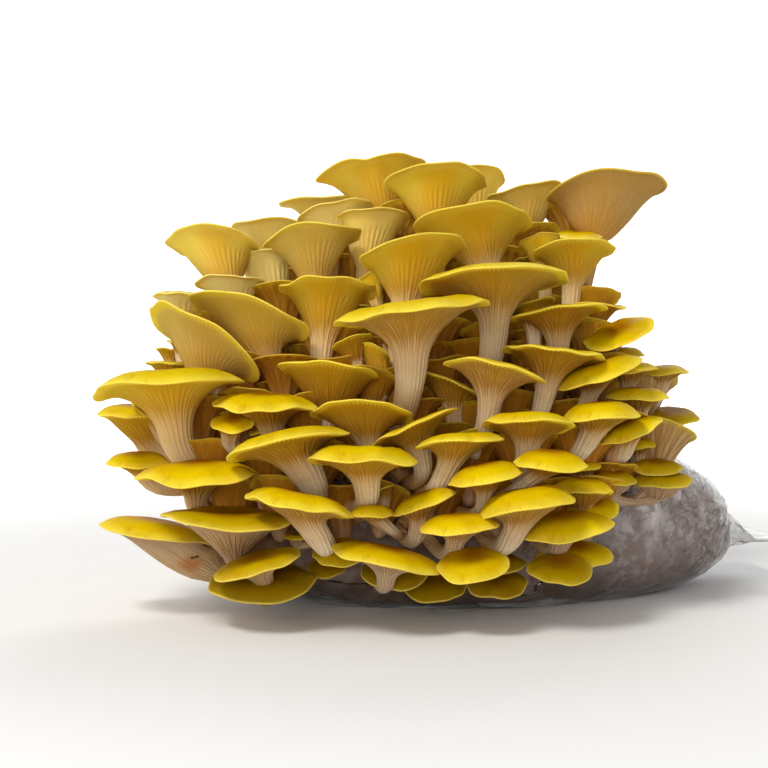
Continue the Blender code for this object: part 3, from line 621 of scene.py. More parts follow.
def make_piece(name, grids, material, values=()):
    """A finished piece from grids of (points, places). values has one set of named numbers for each grid."""
    vertices, faces, maps = [], [], []
    first = 0
    for points, places in grids:
        some, kinds, corner_maps = grid_mesh(points, places, first)
        vertices.append(some)
        faces.extend(kinds)
        maps.extend(corner_maps)
        first += len(some)
    sizes = np.concatenate([np.full(len(kind), kind.shape[1]) for kind in faces])
    mesh = bpy.data.meshes.new(name)
    mesh.vertices.add(first)
    mesh.vertices.foreach_set("co", np.concatenate(vertices).astype(np.float32).ravel())
    mesh.loops.add(int(sizes.sum()))
    mesh.loops.foreach_set("vertex_index", np.concatenate([kind.ravel() for kind in faces]).astype(np.int32))
    mesh.polygons.add(len(sizes))
    mesh.polygons.foreach_set("loop_start", (np.cumsum(sizes) - sizes).astype(np.int32))
    mesh.update(calc_edges=True)
    mesh.uv_layers.new(name="surface").data.foreach_set("uv", np.concatenate(maps).astype(np.float32).ravel())
    for label in values[0] if values else ():
        mark(mesh, label, np.repeat([value[label] for value in values], [len(some) for some in vertices]))
    piece = new_object(name, mesh, material)
    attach(piece, "root")
    return piece


# %% [markdown]
# ## Paint as arithmetic
#
# A painted surface is a sum of masks: a little more of this colour where that is true. Wiring such sums by hand is slow
# to read, so a small class lets plain arithmetic stand for the Math nodes, and one method makes any other node.

# %% A class for shader arithmetic
def operator(operation, swapped=False):
    """A method that makes a Math node from a value and another, or from the other and the value."""

    def made(self, other):
        return self.sum_of(operation, *((other, self) if swapped else (self, other)))

    return made


class Flow:
    """A value that flows from one shader node to the next."""

    def __init__(self, paint, socket):
        self.paint = paint
        self.socket = socket

    def sum_of(self, operation, *values):
        return self.paint.node("ShaderNodeMath", {"operation": operation}, dict(enumerate(values)))

    __add__ = __radd__ = operator("ADD")
    __mul__ = __rmul__ = operator("MULTIPLY")
    __sub__, __rsub__ = operator("SUBTRACT"), operator("SUBTRACT", swapped=True)
    __truediv__ = operator("DIVIDE")

    def wave(self):
        """From 0 to 1 and back, once for each whole number, with 1 at the whole numbers."""
        return self.sum_of("COSINE", self * (2 * math.pi)) * 0.5 + 0.5

    def step(self, low, high):
        """A smooth step from 0 at low to 1 at high."""
        settings = {"interpolation_type": "SMOOTHSTEP"}
        return self.paint.node("ShaderNodeMapRange", settings, {0: self, 1: low, 2: high})


class Paint:
    """A material with a Principled shader, and the nodes that feed it."""

    def __init__(self, name, **constants):
        self.material = bpy.data.materials.new(name)
        self.material.use_nodes = True
        self.tree = self.material.node_tree
        self.shader = self.tree.nodes["Principled BSDF"]
        for socket, value in constants.items():
            self.shader.inputs[socket.replace("_", " ")].default_value = value
        self.object = self.node("ShaderNodeTexCoord", {}, {}, "Object")  # places in metres

    def node(self, kind, settings, inputs, output=0):
        made = self.tree.nodes.new(kind)
        for setting, value in settings.items():
            setattr(made, setting, value)
        for socket, value in inputs.items():
            if isinstance(value, Flow):
                self.tree.links.new(value.socket, made.inputs[socket])
            else:
                made.inputs[socket].default_value = value
        return Flow(self, made.outputs[output])

    def mix(self, share, first, second, blend="MIX"):
        settings = {"data_type": "RGBA", "blend_type": blend}
        return self.node("ShaderNodeMix", settings, {0: share, 6: first, 7: second}, 2)

    def coats(self, ground, *coats):
        """Coats of colour over a ground, each with its share. A colour is red, green and blue from 0 to 255."""
        colour = tint(*ground) if isinstance(ground, tuple) else ground
        for share, coat in coats:
            colour = self.mix(share, colour, tint(*coat) if isinstance(coat, tuple) else coat)
        return colour

    def uv(self):
        return self.node("ShaderNodeUVMap", {"uv_map": "surface"}, {})

    def split(self, vector):
        """The three parts of a vector."""
        first = self.node("ShaderNodeSeparateXYZ", {}, {0: vector})
        return [Flow(self, socket) for socket in first.socket.node.outputs]

    def noise(self, scale, detail=2.0, rough=0.5, stretch=(1, 1, 1)):
        """Cloudy noise from 0 to 1 at so many features a metre, drawn out along the axes with a small stretch."""
        place = self.object
        if stretch != (1, 1, 1):
            place = self.node("ShaderNodeMapping", {}, {"Vector": self.object, "Scale": stretch})
        inputs = {"Vector": place, "Scale": scale, "Detail": detail, "Roughness": rough}
        return self.node("ShaderNodeTexNoise", {}, inputs)

    def away_from(self, point):
        """The distance from a fixed point."""
        return self.node("ShaderNodeVectorMath", {"operation": "DISTANCE"}, {0: self.object, 1: point}, "Value")

    def named(self, attribute):
        return self.node("ShaderNodeAttribute", {"attribute_name": attribute}, {}, "Fac")

    def feed(self, **flows):
        for socket, flow in flows.items():
            self.tree.links.new(flow.socket, self.shader.inputs[socket.replace("_", " ")])

    def bump(self, height, distance, strength=1.0):
        inputs = {"Height": height, "Distance": distance, "Strength": strength}
        self.feed(Normal=self.node("ShaderNodeBump", {}, inputs, "Normal"))


def tint(red, green, blue):
    """A colour as a painter names it, 0 to 255, in the linear values that the shader wants."""
    shares = np.array([red, green, blue]) / 255
    linear = np.where(shares <= 0.04045, shares / 12.92, ((shares + 0.055) / 1.055) ** 2.4)
    return (*linear.tolist(), 1.0)


# %% [markdown]
# ## The flesh
#
# On the real thing one flesh makes the cap, the gills and the stem, so one material paints all three, and finds out
# from the place on the surface where it is: 0 at the foot, 1 at the neck, 2 at the rim, 3 in the middle of the top.
# The top is a clean, waxy yellow, paler at the rim, where a highlight is also painted. Below, pale gill edges stand on
# darker ochre, with painted shade deep in the funnel. The stem is cream, and its foot golden. Low in the cluster the
# undersides turn lilac brown. Caps that others shade are painted darker. Real flesh also lets a little light through.
# Here that glow is only painted, because light that really goes through a hundred caps takes long to render.

# %% The one wound: a slit and a stain under the lowest cap on the left
SLIT_START = (-112.8, 20.2)  # across and up in the drawing, in millimetres
SLIT_SLOPE = 0.8
SLIT_STEPS = (0, 0.6, 1.2, 1.8, 2.4)
STAIN_AT = (-113.0, 17.4)


def drawn_on(key, across, up):
    """The point of a mushroom's near side that lies closest to a place in the drawing."""
    points = mushroom(key)[0].reshape(-1, 3)
    share = (DRAWN_AT - EYE.y) / (points[:, 1] - EYE.y)
    x, z = EYE.x + (points[:, 0] - EYE.x) * share, EYE.z + (points[:, 2] - EYE.z) * share
    behind = (points[:, 1] - points[:, 1].min()) * 0.05
    return points[np.argmin(np.hypot(x - across * MM, z - up * MM) + behind)].tolist()


SLIT = [drawn_on("L6", SLIT_START[0] + step, SLIT_START[1] + SLIT_SLOPE * step) for step in SLIT_STEPS]
STAIN = drawn_on("L6", *STAIN_AT)

# %% The paint for caps, gills and stems
RAYS = (46, 2.2, 1)  # streaks in one turn round the cap, and from the foot to the rim


def gill_lines(gill, place):
    """1 on the gills' edges and 0 between: every fourth one at the neck, and all of them further out."""
    line = (gill / 4).wave()
    line = line + ((gill / 2).wave() - line) * place.step(0.95, 1.1)
    line = line + (gill.wave() - line) * place.step(1.1, 1.35)
    return line + ((gill * 2).wave() - line) * place.step(1.35, 1.6) * 0.6


def flesh_paint():
    paint = Paint("oyster_flesh", IOR=1.33, Specular_IOR_Level=0.07)
    spread, place, _ = paint.split(paint.uv())
    gill = spread * paint.named("gill_count")
    tone, soft, pale = paint.named("tone"), paint.named("soft"), paint.named("pale")
    clouds = paint.noise(70, 3)
    grain = paint.noise(900, 2)
    rays = paint.node("ShaderNodeMapping", {}, {"Vector": paint.uv(), "Scale": RAYS})
    rays = paint.node("ShaderNodeTexNoise", {}, {"Vector": rays, "Scale": 1.0, "Detail": 3.0})

    line = gill_lines(gill, place) * (0.35 + rays.step(0.3, 0.7) * 0.65)
    fading = 0.35 + place.step(0.85, 1.15) * 0.7 - place.step(1.25, 1.8) * (0.35 + soft * 0.6)
    warm = 1 - tone
    firm = (1 - soft) * warm
    faint = soft * place.step(1.0, 1.6)
    near = 1 - spread.sum_of("ABSOLUTE", spread - 0.75).step(0.02, 0.12)
    glow = near * place.step(1.1, 1.45) * (1 - place.step(1.7, 1.98)) * warm

    ground = paint.coats(
        (240, 220, 186),
        (place.step(0.8, 1.2), (162, 108, 14)),
        (place.step(1.2, 1.8), (190, 142, 0)),
        (faint, (242, 210, 52)),
        (tone * 0.85, (144, 110, 88)),
        (glow * 0.5, (196, 142, 0)),
    )
    edge = paint.coats(
        (252, 240, 212),
        (place.step(0.85, 1.25), (222, 178, 74)),
        (place.step(1.4, 1.9) * 0.8, (230, 190, 12)),
        (faint, (244, 216, 84)),
        (tone * 0.8, (214, 194, 176)),
        (glow * 0.35, (226, 176, 20)),
    )
    slit = paint.away_from(SLIT[0])
    for point in SLIT[1:]:
        slit = slit.sum_of("MINIMUM", slit, paint.away_from(point))
    below = paint.coats(
        paint.mix(line * fading + clouds * 0.12, ground, edge),
        (firm * place.step(0.9, 1.3) * (1 - place.step(1.6, 1.95)) * 0.36, (110, 66, 20)),  # painted shade deep in the funnel, between the gills
        ((1 - place.step(0.4, 0.9)) * (0.6 - tone * 0.55), (214, 152, 40)),  # the golden foot
        (soft * place.step(0.5, 0.9) * (1 - place.step(1.2, 1.6)) * 0.6, (220, 176, 64)),
        # paler on the pale ones: their own cream colour, and painted light
        (pale * place.step(0.9, 1.4), (250, 234, 156)),
        (glow * soft * (1 - pale) * (0.3 + line * 0.5), (228, 176, 8)),
        (place.step(1.72, 1.93) * warm * 0.4, (242, 216, 104)),  # paler towards the margin: its own colour, and painted light through the thin flesh
        (place.step(1.8, 1.9) * firm * 0.75, (255, 230, 24)),  # the top's skin, which rolls in over the edge
        (place.step(1.96, 2.0) * 0.8, (240, 216, 92)),  # the edge itself
        ((1 - paint.away_from(STAIN).step(1.5 * MM, 7 * MM)) * 0.6, (166, 84, 30)),
        ((1 - (slit + clouds * 0.6 * MM).step(0.6 * MM, 1.2 * MM)) * 0.9, (56, 38, 26)),
    )

    inwards = place - 2
    # painted shade on the far half of each top, which the caps above shade
    behind = (spread - 0.25).wave() * (1 - soft) * inwards.step(0.02, 0.3)
    top = paint.coats(
        # paler at the rim: the cap's own paler margin, and a painted highlight
        (236, 212, 58),
        (inwards.step(0.0, 0.18), (218, 188, 0)),
        # paler still at the rim of the pale ones: their own cream colour, and a painted highlight
        (pale * (1 - inwards.step(0.0, 0.3)), (248, 238, 164)),
        (inwards.step(0.2, 0.8) * 0.85, (182, 132, 0)),
        (clouds.step(0.45, 0.75) * 0.45, (196, 148, 0)),
        (rays.step(0.56, 0.72) * 0.4, (182, 130, 0)),
        ((behind + inwards.step(0.5, 1.0)) * 0.75, (152, 98, 0)),  # painted shade at the back, where the caps above shade it, and darker in the dish
        # painted shade on tops that other caps shade
        (paint.named("top_shade") * 0.85, (120, 88, 2)),
    )
    # painted shade: browner all over on mushrooms by their shade number
    colour = paint.coats(below, (place.step(1.985, 2.02), top), (paint.named("shade") * 0.75, (170, 100, 26)))
    colour = paint.mix(0.1, colour, paint.coats((110, 90, 60), (grain, (255, 250, 235))), "OVERLAY")
    paint.feed(Base_Color=colour, Roughness=0.66 - place.step(1.98, 2.05) * 0.2 + grain * 0.12)
    fibres = (gill / 4).wave() * (1 - place.step(0.9, 1.2)) * 0.5
    paint.bump(grain * 0.35 + clouds * 0.5 + fibres, 0.7 * MM, 0.6)
    return paint.material


flesh = flesh_paint()
print("flesh nodes", len(flesh.node_tree.nodes))

# %% What is special about single mushrooms, as shares from 0 to 1
LILAC = {"L5": 0.85, "L6": 1.0, "R18": 0.9, "R19": 0.9, "R34": 0.9, "T15": 0.8, "M1": 0.25, "M2": 0.12, "R2": 0.25,
         "T14": 0.15, "T2": 0.1, "T1": 0.05}  # lilac undersides, where height and side don't tell; on T15, M1 and R2 the darker tone is also painted shade
SHADED_TOPS = {"L5": 0.35, "L7": 0.5, "L8": 0.85, "B4": 0.05, "B5": 0.9, "B6": 0.6, "B7": 0.95, "R25": 0.25, "R26": 0.7,
        "R27": 0.95, "R28": 0.95, "R24": 0.5, "R17": 0.2, "R18": 0.35, "R34": 0.5, "R19": 0.4, "T22": 0.7,
        "R32": 0.4, "T17": 0.5, "L9": 0.4, "L10": 0.5, "R8": 0.3, "R10": 0.5}  # tops that others shade
# Mushrooms painted browner all over, as painted shade
SHADED_MUSHROOMS = {"T15": 0.35, "T22": 0.4, "C10": 0.4, "L9": 0.2}
SOFT_ROWS = {"T": 0.9, "M": 0.3, "L": 0.3, "C": 0.1}  # how faint the gills are towards the rim, in each row
SOFT = {"T6": 0.6, "T16": 0.6, "T20": 0.65, "T22": 0.3, "T19": 0.5, "M3": 0.5, "M4": 0.45, "M5": 0.25, "M1": 0.1,
        "M2": 0.2, "L1": 0.5, "L5": 0.1, "L6": 0.3}
PALE = {"T10": 0.2, "T11": 0.8, "T12": 0.95, "T8": 0.9, "T5": 0.85, "T7": 0.55, "T6": 0.3, "T4": 0.5, "T1": 0.1,
        "T3": 0.3, "T14": 0.4, "T18": 0.3, "M6": 0.7, "M5": 0.25, "M4": 0.15}  # paler at the top and the left: their own cream colour, and painted light


def lilac(centre):
    """How lilac an underside is: not at all above, and more the lower and the further right it is."""
    low = 1 - float(ease(20 * MM, 62 * MM, centre.z))
    return min(1.0, low * 0.9 + float(ease(40 * MM, 95 * MM, centre.x)) * 0.35)


def looks_of(key):
    """The numbers that the paint reads for one mushroom. The young ones get more painted shade, browner, the deeper
    they are.
    """
    centre = growths[key].centre
    if key in inner:
        right = float(ease(55 * MM, 75 * MM, centre.x))
        shade = 0.2 if inner[key] >= FILLS_FROM else 0.65 - 0.4 * float(ease(100 * MM, 125 * MM, centre.z))
        return {"tone": 0.1 + 0.6 * right, "top_shade": 0.5, "shade": shade * (1 - right), "soft": 0, "pale": 0}
    return {"tone": LILAC.get(key, lilac(centre)), "top_shade": SHADED_TOPS.get(key, 0), "shade": SHADED_MUSHROOMS.get(key, 0),
            "soft": SOFT.get(key, SOFT_ROWS.get(key[0], 0)), "pale": PALE.get(key, 0)}


# %% All the mushrooms, in one piece for each bunch, and the young ones in one for each level
def grow(name, members):
    """One piece from some mushrooms."""
    grids, looks = [], []
    for key in members:
        points, places, gills = mushroom(key)
        grids.append((points, places))
        looks.append({"gill_count": gills, **looks_of(key)})
    piece = make_piece(name, grids, flesh, looks)
    return piece


leads = {f"{ROWS[key[0]]}_{int(key[1:]):02d}": key for key in MUSHROOMS}
for node in sorted(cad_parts):
    lead = leads.get(node.partition("_")[2])
    if lead:
        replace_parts(grow("grown_" + node, bunch_of.get(lead, (lead,))), node)
for level in range(len(INNER_LEVELS)):
    grow(f"young_mushrooms_{level + 1:02d}", [key for key in inner if inner[key] == level])
print("mushrooms", len(MUSHROOMS), "and young ones", len(inner))

# %% [markdown]
# ## The block
#
# The block is sawdust that mycelium has bound into one lump, slumped where it lies. A rounded box with a subdivision
# would lose the flat underside, so the surface is a formula: a rounded rectangle that tapers towards its ends, flat
# where it would sink into the ground, and then lumpy with layers of waves.

# %% The rule for the bag's surface
END_ROUNDING = 2.0
SECTION_ROUNDING = 3.4
END_LIFT = 21 * MM
LUMPS = ((0.018, 5.1, 2, 0.0), (0.014, 9.7, -3, 1.0))  # share of the section, waves along, waves round, phase
FILM_THICKNESS = 0.6 * MM
FILM_CLEARANCE = 0.4 * MM


def power(values, exponent):
    return np.sign(values) * np.abs(values) ** exponent


def bag_surface(along, turn, grow):
    """Points of the slumped block, grown by a distance. along runs -1 to 1, turn is 0 at the back and a quarter on top.

    The half depth and half height shrink to nothing at the ends, by a rounding of the 2nd power. A section is a
    rounded rectangle, by powers of cosine and sine, and it is cut flat where it would sink into the ground.
    """
    taper = np.maximum(0, 1 - np.abs(along) ** END_ROUNDING) ** (1 / END_ROUNDING)
    lumps = 1 + sum(size * np.sin(a * along + b * turn + phase) for size, a, b, phase in LUMPS)
    half_depth = (BLOCK_HALF_DEPTH + grow) * taper * lumps
    half_height = ((BLOCK_HEIGHT + SLUMP) / 2 + grow) * taper * lumps
    middle = END_LIFT + ((BLOCK_HEIGHT - SLUMP) / 2 - END_LIFT) * taper
    x = along * (BLOCK_HALF_LENGTH + grow)
    y = half_depth * power(np.cos(turn), 2 / SECTION_ROUNDING)
    z = middle + half_height * power(np.sin(turn), 2 / SECTION_ROUNDING)
    ground = FILM_CLEARANCE + FILM_THICKNESS - grow
    return laid(x, y, np.maximum(z, ground))


def laid(x, y, z):
    """Points along, across and above the block, turned to where it lies."""
    cos, sin = math.cos(BLOCK_YAW), math.sin(BLOCK_YAW)
    return np.stack([x * cos - y * sin + BLOCK_CENTRE.x, x * sin + y * cos + BLOCK_CENTRE.y, z], -1)


def ripples(points, size, count, seed):
    """Gentle unevenness: the mean of many sine waves of about one length, in every direction, from -1 to 1 or so."""
    chance = np.random.default_rng(seed)
    ways = unit(chance.normal(size=(count, 3))) * 2 * math.pi / (size * chance.uniform(0.7, 1.4, (count, 1)))
    return np.sin(points @ ways.T + chance.uniform(0, 2 * math.pi, count)).sum(axis=-1) / math.sqrt(count / 2) / 1.6


def even_turns(along, count):
    """Angles that share out a section's outline evenly, though its corners are tight."""
    fine = np.linspace(0, 2 * math.pi, 4001)
    outline = bag_surface(np.full_like(fine, along), fine, 0)
    walked = np.concatenate([[0], np.cumsum(np.linalg.norm(np.diff(outline, axis=0), axis=1))])
    return np.interp(np.arange(count) / count * walked[-1], walked, fine)


BLOCK_SIDES = 200
BLOCK_RINGS = 150
BLOCK_RIPPLES = ((0.9, 24 * MM, 24, 5), (0.5, 8 * MM, 40, 6), (0.25, 3 * MM, 60, 7))  # share, length, waves, seed


def make_block(material):
    """The block: its rule, moved in and out by ripples of three sizes, and nowhere through the film."""
    along = np.sin(np.linspace(-1, 1, BLOCK_RINGS + 2)[1:-1] * math.pi / 2)[:, None]
    turn = even_turns(0.0, BLOCK_SIDES)[None, :]
    smooth = bag_surface(along, turn, 0)
    lumps = sum(share * ripples(smooth, size, count, seed) for share, size, count, seed in BLOCK_RIPPLES)
    points = bag_surface(along, turn, np.minimum((lumps - 1.1) * 0.9 * MM, 0.1 * MM))
    piece = make_piece("mycelium_block", [(points, along[:, 0])], material)
    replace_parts(piece, "substrate_block")
    return piece


# %% The paint for the block: pale mycelium over brown sawdust
def block_paint():
    paint = Paint("mycelium_block", Roughness=0.85)
    broad = paint.noise(34, 4, 0.6)
    patches = paint.noise(90, 5, 0.65)
    crumbs = paint.noise(420, 3, 0.6)
    x, y, z = paint.split(paint.object)
    specks = paint.node("ShaderNodeTexVoronoi", {"feature": "F1"}, {"Vector": paint.object, "Scale": 55.0})
    in_window = (1 - x.step(0.05, 0.075)) * (1 - (1 - (y * -1).step(0.0, 0.02)) * (1 - z.step(0.055, 0.065)))
    sawdust = paint.coats((122, 96, 82), (crumbs, (164, 136, 120)))
    mycelium = paint.coats((178, 156, 152), (patches.step(0.45, 0.6), (252, 242, 242)))
    colour = paint.coats(
        sawdust,
        ((broad * 0.75 + patches * 0.25).step(0.36, 0.58), mycelium),
        (x.step(0.03, 0.1) * (1 - z.step(0.016, 0.042)) * patches.step(0.3, 0.5) * 0.9, (112, 70, 40)),  # rusty, low
        (in_window * (0.55 + patches * 0.4), (88, 56, 24)),  # darker brown where the mushrooms stand: browned substrate, and painted shade under the cluster
        ((1 - specks.step(0.035, 0.06)) * paint.noise(14, 1).step(0.52, 0.56) * 0.9, (30, 22, 18)),
    )
    paint.feed(Base_Color=colour)
    paint.bump(patches * 0.8 + crumbs * 0.2, 0.0008, 0.5)
    return paint.material


make_block(block_paint())

# %% [markdown]
# ## The film
#
# The bag is thin clear plastic, drawn tight in places and creased in others, cut open over the front and the top. It is
# made as one sheet on the block's rule, with creases as sharp ridges, and a Solidify modifier gives it its thickness.
# The window's edge follows a rounded rectangle with a ragged line. The right end is pressed flat into a welded fin.

# %% The sheet of film
WINDOW_CENTRE = (-0.35, math.radians(127))
WINDOW_REACH = (0.71, math.radians(81))
WINDOW_SQUARENESS = 4
WINDOW_RAGS = ((0.03, 9, 4), (0.02, 23, -7), (0.01, 0, 61))  # share of its reach, waves round, waves along
WINDOW_NARROWS = (math.radians(150), math.radians(180))  # from here on round, its right half is a fifth shorter
FIN_LENGTH = 15 * MM
FIN_HALF_WIDTH = 30 * MM
FIN_GAP = 1.5 * MM
SHEET = 0.16 * MM
FILM_SIDES = 240
FILM_RINGS = 170
FIN_ROWS = 14
GATHER_ROWS = 12
FILM_TURNS_IN = 0.975  # the share of the block's length from which the film gathers towards the fin
CREASES = ((0.55, 46 * MM, 14, 11, 0.28), (0.4, 17 * MM, 20, 12, 0.22))  # share, length, waves, seed, width
CREASE_HEIGHT = 0.95  # in millimetres
FLAT_SHARE = 0.75  # how far below the highest crease the flat film lies
LIP = (0.3, 0.04)  # how far the window's edge lies back, and over what share of the window
SMOOTH_BELOW = 8 * MM  # the film lies smooth where it rests
PLEATS = 16
PLEAT_HEIGHT = 0.5 * MM
FIN_WAVE = (0.5 * MM, 3.1 * MM)  # height, and length over a turn of one radian
CRIMPS = (0.18 * MM, 60)  # height, and radians over the length of the fin


def creases(points):
    """Sharp-crested folds in the film, in two sizes: narrow ridges where ripples cross 0, highest on the crossing."""
    heights = [
        share * np.clip(width - np.abs(ripples(points, size, count, seed)), 0, None) / width
        for share, size, count, seed, width in CREASES
    ]
    return sum(heights)


def window_sheet():
    """The film on the block: its points, which of its faces are there, and the angles of its last ring.

    The window is a superellipse in length and turn, with a ragged edge of three waves. The faces inside it are left
    out, and the corners that stand just inside are pulled out onto its edge, which makes the edge smooth.
    """
    along = np.sin(np.linspace(-1, 1, FILM_RINGS + 1)[1:] * math.pi / 2)
    along, turn = np.meshgrid(along[along < FILM_TURNS_IN], even_turns(0.0, FILM_SIDES), indexing="ij")
    ragged = 1 + sum(size * np.sin(a * turn + b * along) for size, a, b in WINDOW_RAGS)
    narrower = (along > WINDOW_CENTRE[0]) * ease(*WINDOW_NARROWS, turn)
    reach_along = WINDOW_REACH[0] * (1 - 0.2 * narrower)
    off = np.stack([(along - WINDOW_CENTRE[0]) / reach_along, (turn - WINDOW_CENTRE[1]) / WINDOW_REACH[1]])
    reach = (np.abs(off) ** WINDOW_SQUARENESS).sum(axis=0) ** (1 / WINDOW_SQUARENESS)
    inside = reach < ragged
    open_face = inside & np.roll(inside, -1, 1)
    kept = ~(open_face[:-1] & open_face[1:])
    touched = np.zeros_like(inside)
    for down in (0, 1):
        touched[down : len(kept) + down] |= kept | np.roll(kept, 1, axis=1)
    pull = np.where(inside & touched, ragged / np.maximum(reach, 1e-6), 1)
    along = WINDOW_CENTRE[0] + off[0] * pull * reach_along
    turn = WINDOW_CENTRE[1] + off[1] * pull * WINDOW_REACH[1]

    outer = FILM_CLEARANCE + FILM_THICKNESS
    smooth = bag_surface(along, turn, outer)
    lift = np.clip(smooth[..., 2] / SMOOTH_BELOW, 0, 1)
    lip = np.exp(-(((reach - 1) / LIP[1]) ** 2)) * -LIP[0]
    sheet = bag_surface(along, turn, outer - SHEET + (creases(smooth) - FLAT_SHARE + lip) * lift * CREASE_HEIGHT * MM)
    return sheet, kept, turn[-1]


def make_film(material):
    """The sheet with its fin, closed at the left end by a fan and at the weld by a strip between its two halves."""
    sheet, kept, turn = window_sheet()
    fin = fin_sheet(turn)
    gathered = np.linspace(0, 1, GATHER_ROWS + 2)[1:-1, None, None]
    pleats = PLEAT_HEIGHT * np.sin(PLEATS * turn)[None, :, None] * 4 * gathered * (1 - gathered) * np.array([0, 0, 1.0])
    fin = np.concatenate([sheet[-1] * (1 - gathered) + fin[0] * gathered + pleats, fin])
    welded = np.concatenate([np.zeros(len(sheet)), np.linspace(0, 1, GATHER_ROWS), np.ones(FIN_ROWS)])
    points = np.concatenate([sheet, fin])
    index = np.arange(points.size // 3).reshape(points.shape[:2])
    beside = np.roll(index, -1, axis=1)
    quads = np.stack([index[:-1], beside[:-1], beside[1:], index[1:]], axis=-1)
    quads = quads[np.concatenate([kept, np.ones((len(fin), FILM_SIDES), bool)])]
    closing = np.stack([0 * index[0] + index.size, beside[0], index[0]], axis=-1)
    flat = np.stack([index[-1], index[-1, ::-1]], axis=-1)[: FILM_SIDES // 2]
    ends = np.concatenate([flat[:-1, ::-1], flat[1:]], axis=-1)

    points = np.concatenate([points.reshape(-1, 3), sheet[0].mean(axis=0)[None]])
    used = np.zeros(len(points), bool)
    for kind in (quads, closing, ends):
        used[kind] = True
    renumber = np.cumsum(used) - 1
    faces = [tuple(face) for kind in (quads, closing, ends) for face in renumber[kind].tolist()]
    mesh = bpy.data.meshes.new("clear_film")
    mesh.from_pydata(points[used].tolist(), [], faces)
    mark(mesh, "welded", np.append(np.repeat(welded, FILM_SIDES), 0)[used])
    piece = new_object("clear_film", mesh, material)
    thick = piece.modifiers.new("Thickness of the film", "SOLIDIFY")
    thick.thickness = SHEET
    thick.offset = 1.0
    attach(piece, "root")
    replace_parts(piece, "bag_film")
    return piece


def fin_sheet(turn):
    """The film's right end, from the block's end to the weld: a flat bar as wide as its cosine, with crimped waves."""
    out = np.linspace(0, 1, FIN_ROWS)[:, None]
    turn = turn[None, :]
    x = BLOCK_HALF_LENGTH + FILM_CLEARANCE + FILM_THICKNESS + FIN_GAP + out * FIN_LENGTH
    across = FIN_HALF_WIDTH * power(np.cos(turn), 0.8) + 0 * out
    weld = ease(0.35, 0.5, out)
    up = (1.1 - 0.7 * weld) * MM * power(np.sin(turn), 0.6)
    wave = FIN_WAVE[0] * np.sin(across / FIN_WAVE[1] + 2 * out) * (1 - weld)
    crimped = CRIMPS[0] * np.sin(out * CRIMPS[1]) * weld
    return laid(x, across, END_LIFT + up + (wave + crimped))


# %% The paint for the film
def film_paint():
    paint = Paint(
        "clear_film", Base_Color=(0.96, 0.955, 0.95, 1), Transmission_Weight=1.0, IOR=1.45, Roughness=0.09
    )
    fine = paint.noise(160, 3, 0.6)
    long_folds = paint.noise(60, 2, 0.5, (1, 3.5, 3.5))
    paint.feed(Roughness=0.09 + paint.named("welded") * 0.3)
    paint.bump(fine * 0.15 + long_folds, 0.004, 0.5)
    return paint.material


film = make_film(film_paint())
print("film faces", len(film.data.polygons))

# %% [markdown]
# ## The studio
#
# The object shows best on a plain pale floor under large soft lights: a key above and to the left of the camera, which
# the left-hand stems catch, and a weaker fill. The sky is an even pale grey.

# %% Floor, lights and sky
def area_light(name, place, aim, size, watts, colour):
    """A round soft light."""
    lamp = bpy.data.lights.new(name, "AREA")
    lamp.shape = "DISK"
    lamp.size = size
    lamp.energy = watts
    lamp.color = colour
    light = in_scene(name, lamp)
    light.location = place
    light.rotation_euler = (Vector(aim) - Vector(place)).to_track_quat("-Z", "Y").to_euler()


BACKDROP = ((0, 0), (1.6, 0), (2.0, 0.02), (2.4, 0.12), (2.7, 0.32), (2.9, 0.6), (3.0, 1.0), (3.05, 1.5))  # metres
BACKDROP_ROWS = 36
BACKDROP_SIDES = 72
UNDER_THE_BAG = 0.2 * MM


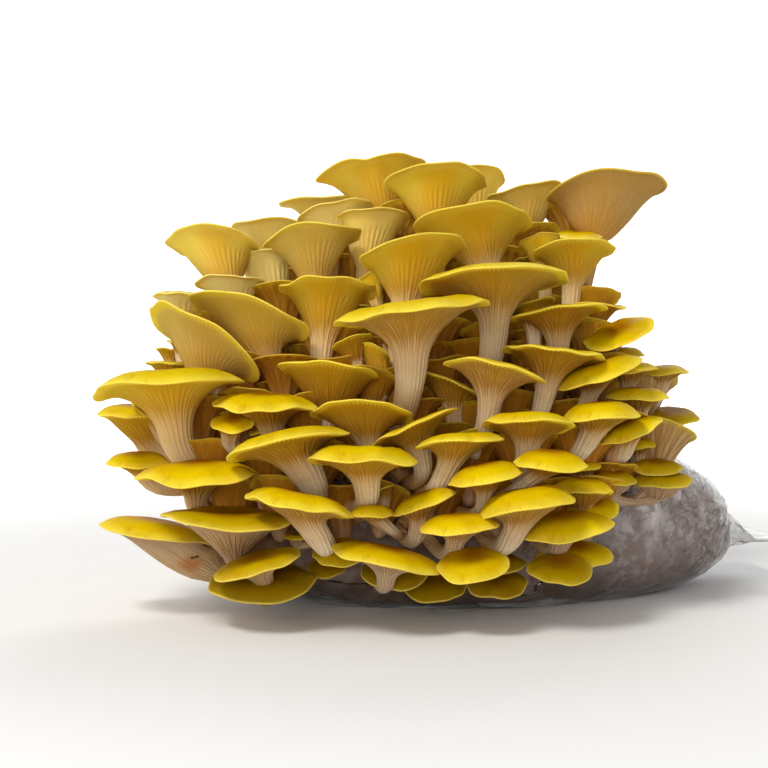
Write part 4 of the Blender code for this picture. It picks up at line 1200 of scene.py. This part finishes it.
def make_backdrop(material):
    """A pale floor that curves up into a low wall all round: the profile of a shallow bowl, turned once."""
    out, up = np.array(BACKDROP).T
    fine = np.linspace(0, len(out) - 1, BACKDROP_ROWS)
    out, up = (np.interp(fine, np.arange(len(line)), line) for line in (out, up))
    up = up - UNDER_THE_BAG
    turn = np.linspace(0, 2 * math.pi, BACKDROP_SIDES, endpoint=False)
    points = np.stack([out[1:, None] * np.cos(turn), out[1:, None] * np.sin(turn), up[1:, None] + 0 * turn], -1)
    index = 1 + np.arange(points.size // 3).reshape(points.shape[:2])
    beside = np.roll(index, -1, axis=1)
    quads = np.stack([index[:-1], index[1:], beside[1:], beside[:-1]], -1).reshape(-1, 4).tolist()
    middle = np.stack([0 * index[0], index[0], beside[0]], -1).tolist()
    mesh = bpy.data.meshes.new("backdrop")
    mesh.from_pydata([(0, 0, up[0]), *points.reshape(-1, 3).tolist()], [], middle + quads)
    backdrop = new_object("backdrop", mesh, material)


def backdrop_paint():
    """White that is lit near the object, where it shows a soft shadow, and glows by itself behind it."""
    paint = Paint("pale_floor", Base_Color=(0.86, 0.86, 0.86, 1), Roughness=0.9, Emission_Strength=0.9)
    _, y, _ = paint.split(paint.object)
    out = paint.node("ShaderNodeVectorMath", {"operation": "LENGTH"}, {0: paint.object}, "Value")
    glow = out.step(0.2, 0.9) * y.step(-0.6, 0.1)
    paint.feed(Emission_Color=paint.mix(glow, (0.0, 0.0, 0.0, 1), (1.0, 1.0, 1.0, 1)))
    paint.feed(Base_Color=paint.mix(y.step(-1.3, -0.6), (0.6, 0.6, 0.6, 1), (0.86, 0.86, 0.86, 1)))
    return paint.material


FRONT = (0, -0.03, 0.09)  # the middle of the cluster's front, in metres


def make_studio():
    make_backdrop(backdrop_paint())
    area_light("key", (-0.65, -1.0, 1.35), FRONT, 0.5, 17.5, (1.0, 0.98, 0.93))
    area_light("fill", (-0.3, -1.75, 0.35), FRONT, 0.9, 10.5, (1.0, 0.96, 0.88))
    area_light("behind", (0.3, 1.2, 1.0), (0, 0.0, 0.1), 0.9, 6, (1.0, 0.99, 0.97))
    sky = bpy.data.worlds.new("sky")
    sky.use_nodes = True
    sky.node_tree.nodes["Background"].inputs["Color"].default_value = (0.96, 0.97, 1.0, 1)
    sky.node_tree.nodes["Background"].inputs["Strength"].default_value = 0.32
    bpy.context.scene.world = sky
    bpy.context.scene.view_settings.view_transform = "Standard"


make_studio()
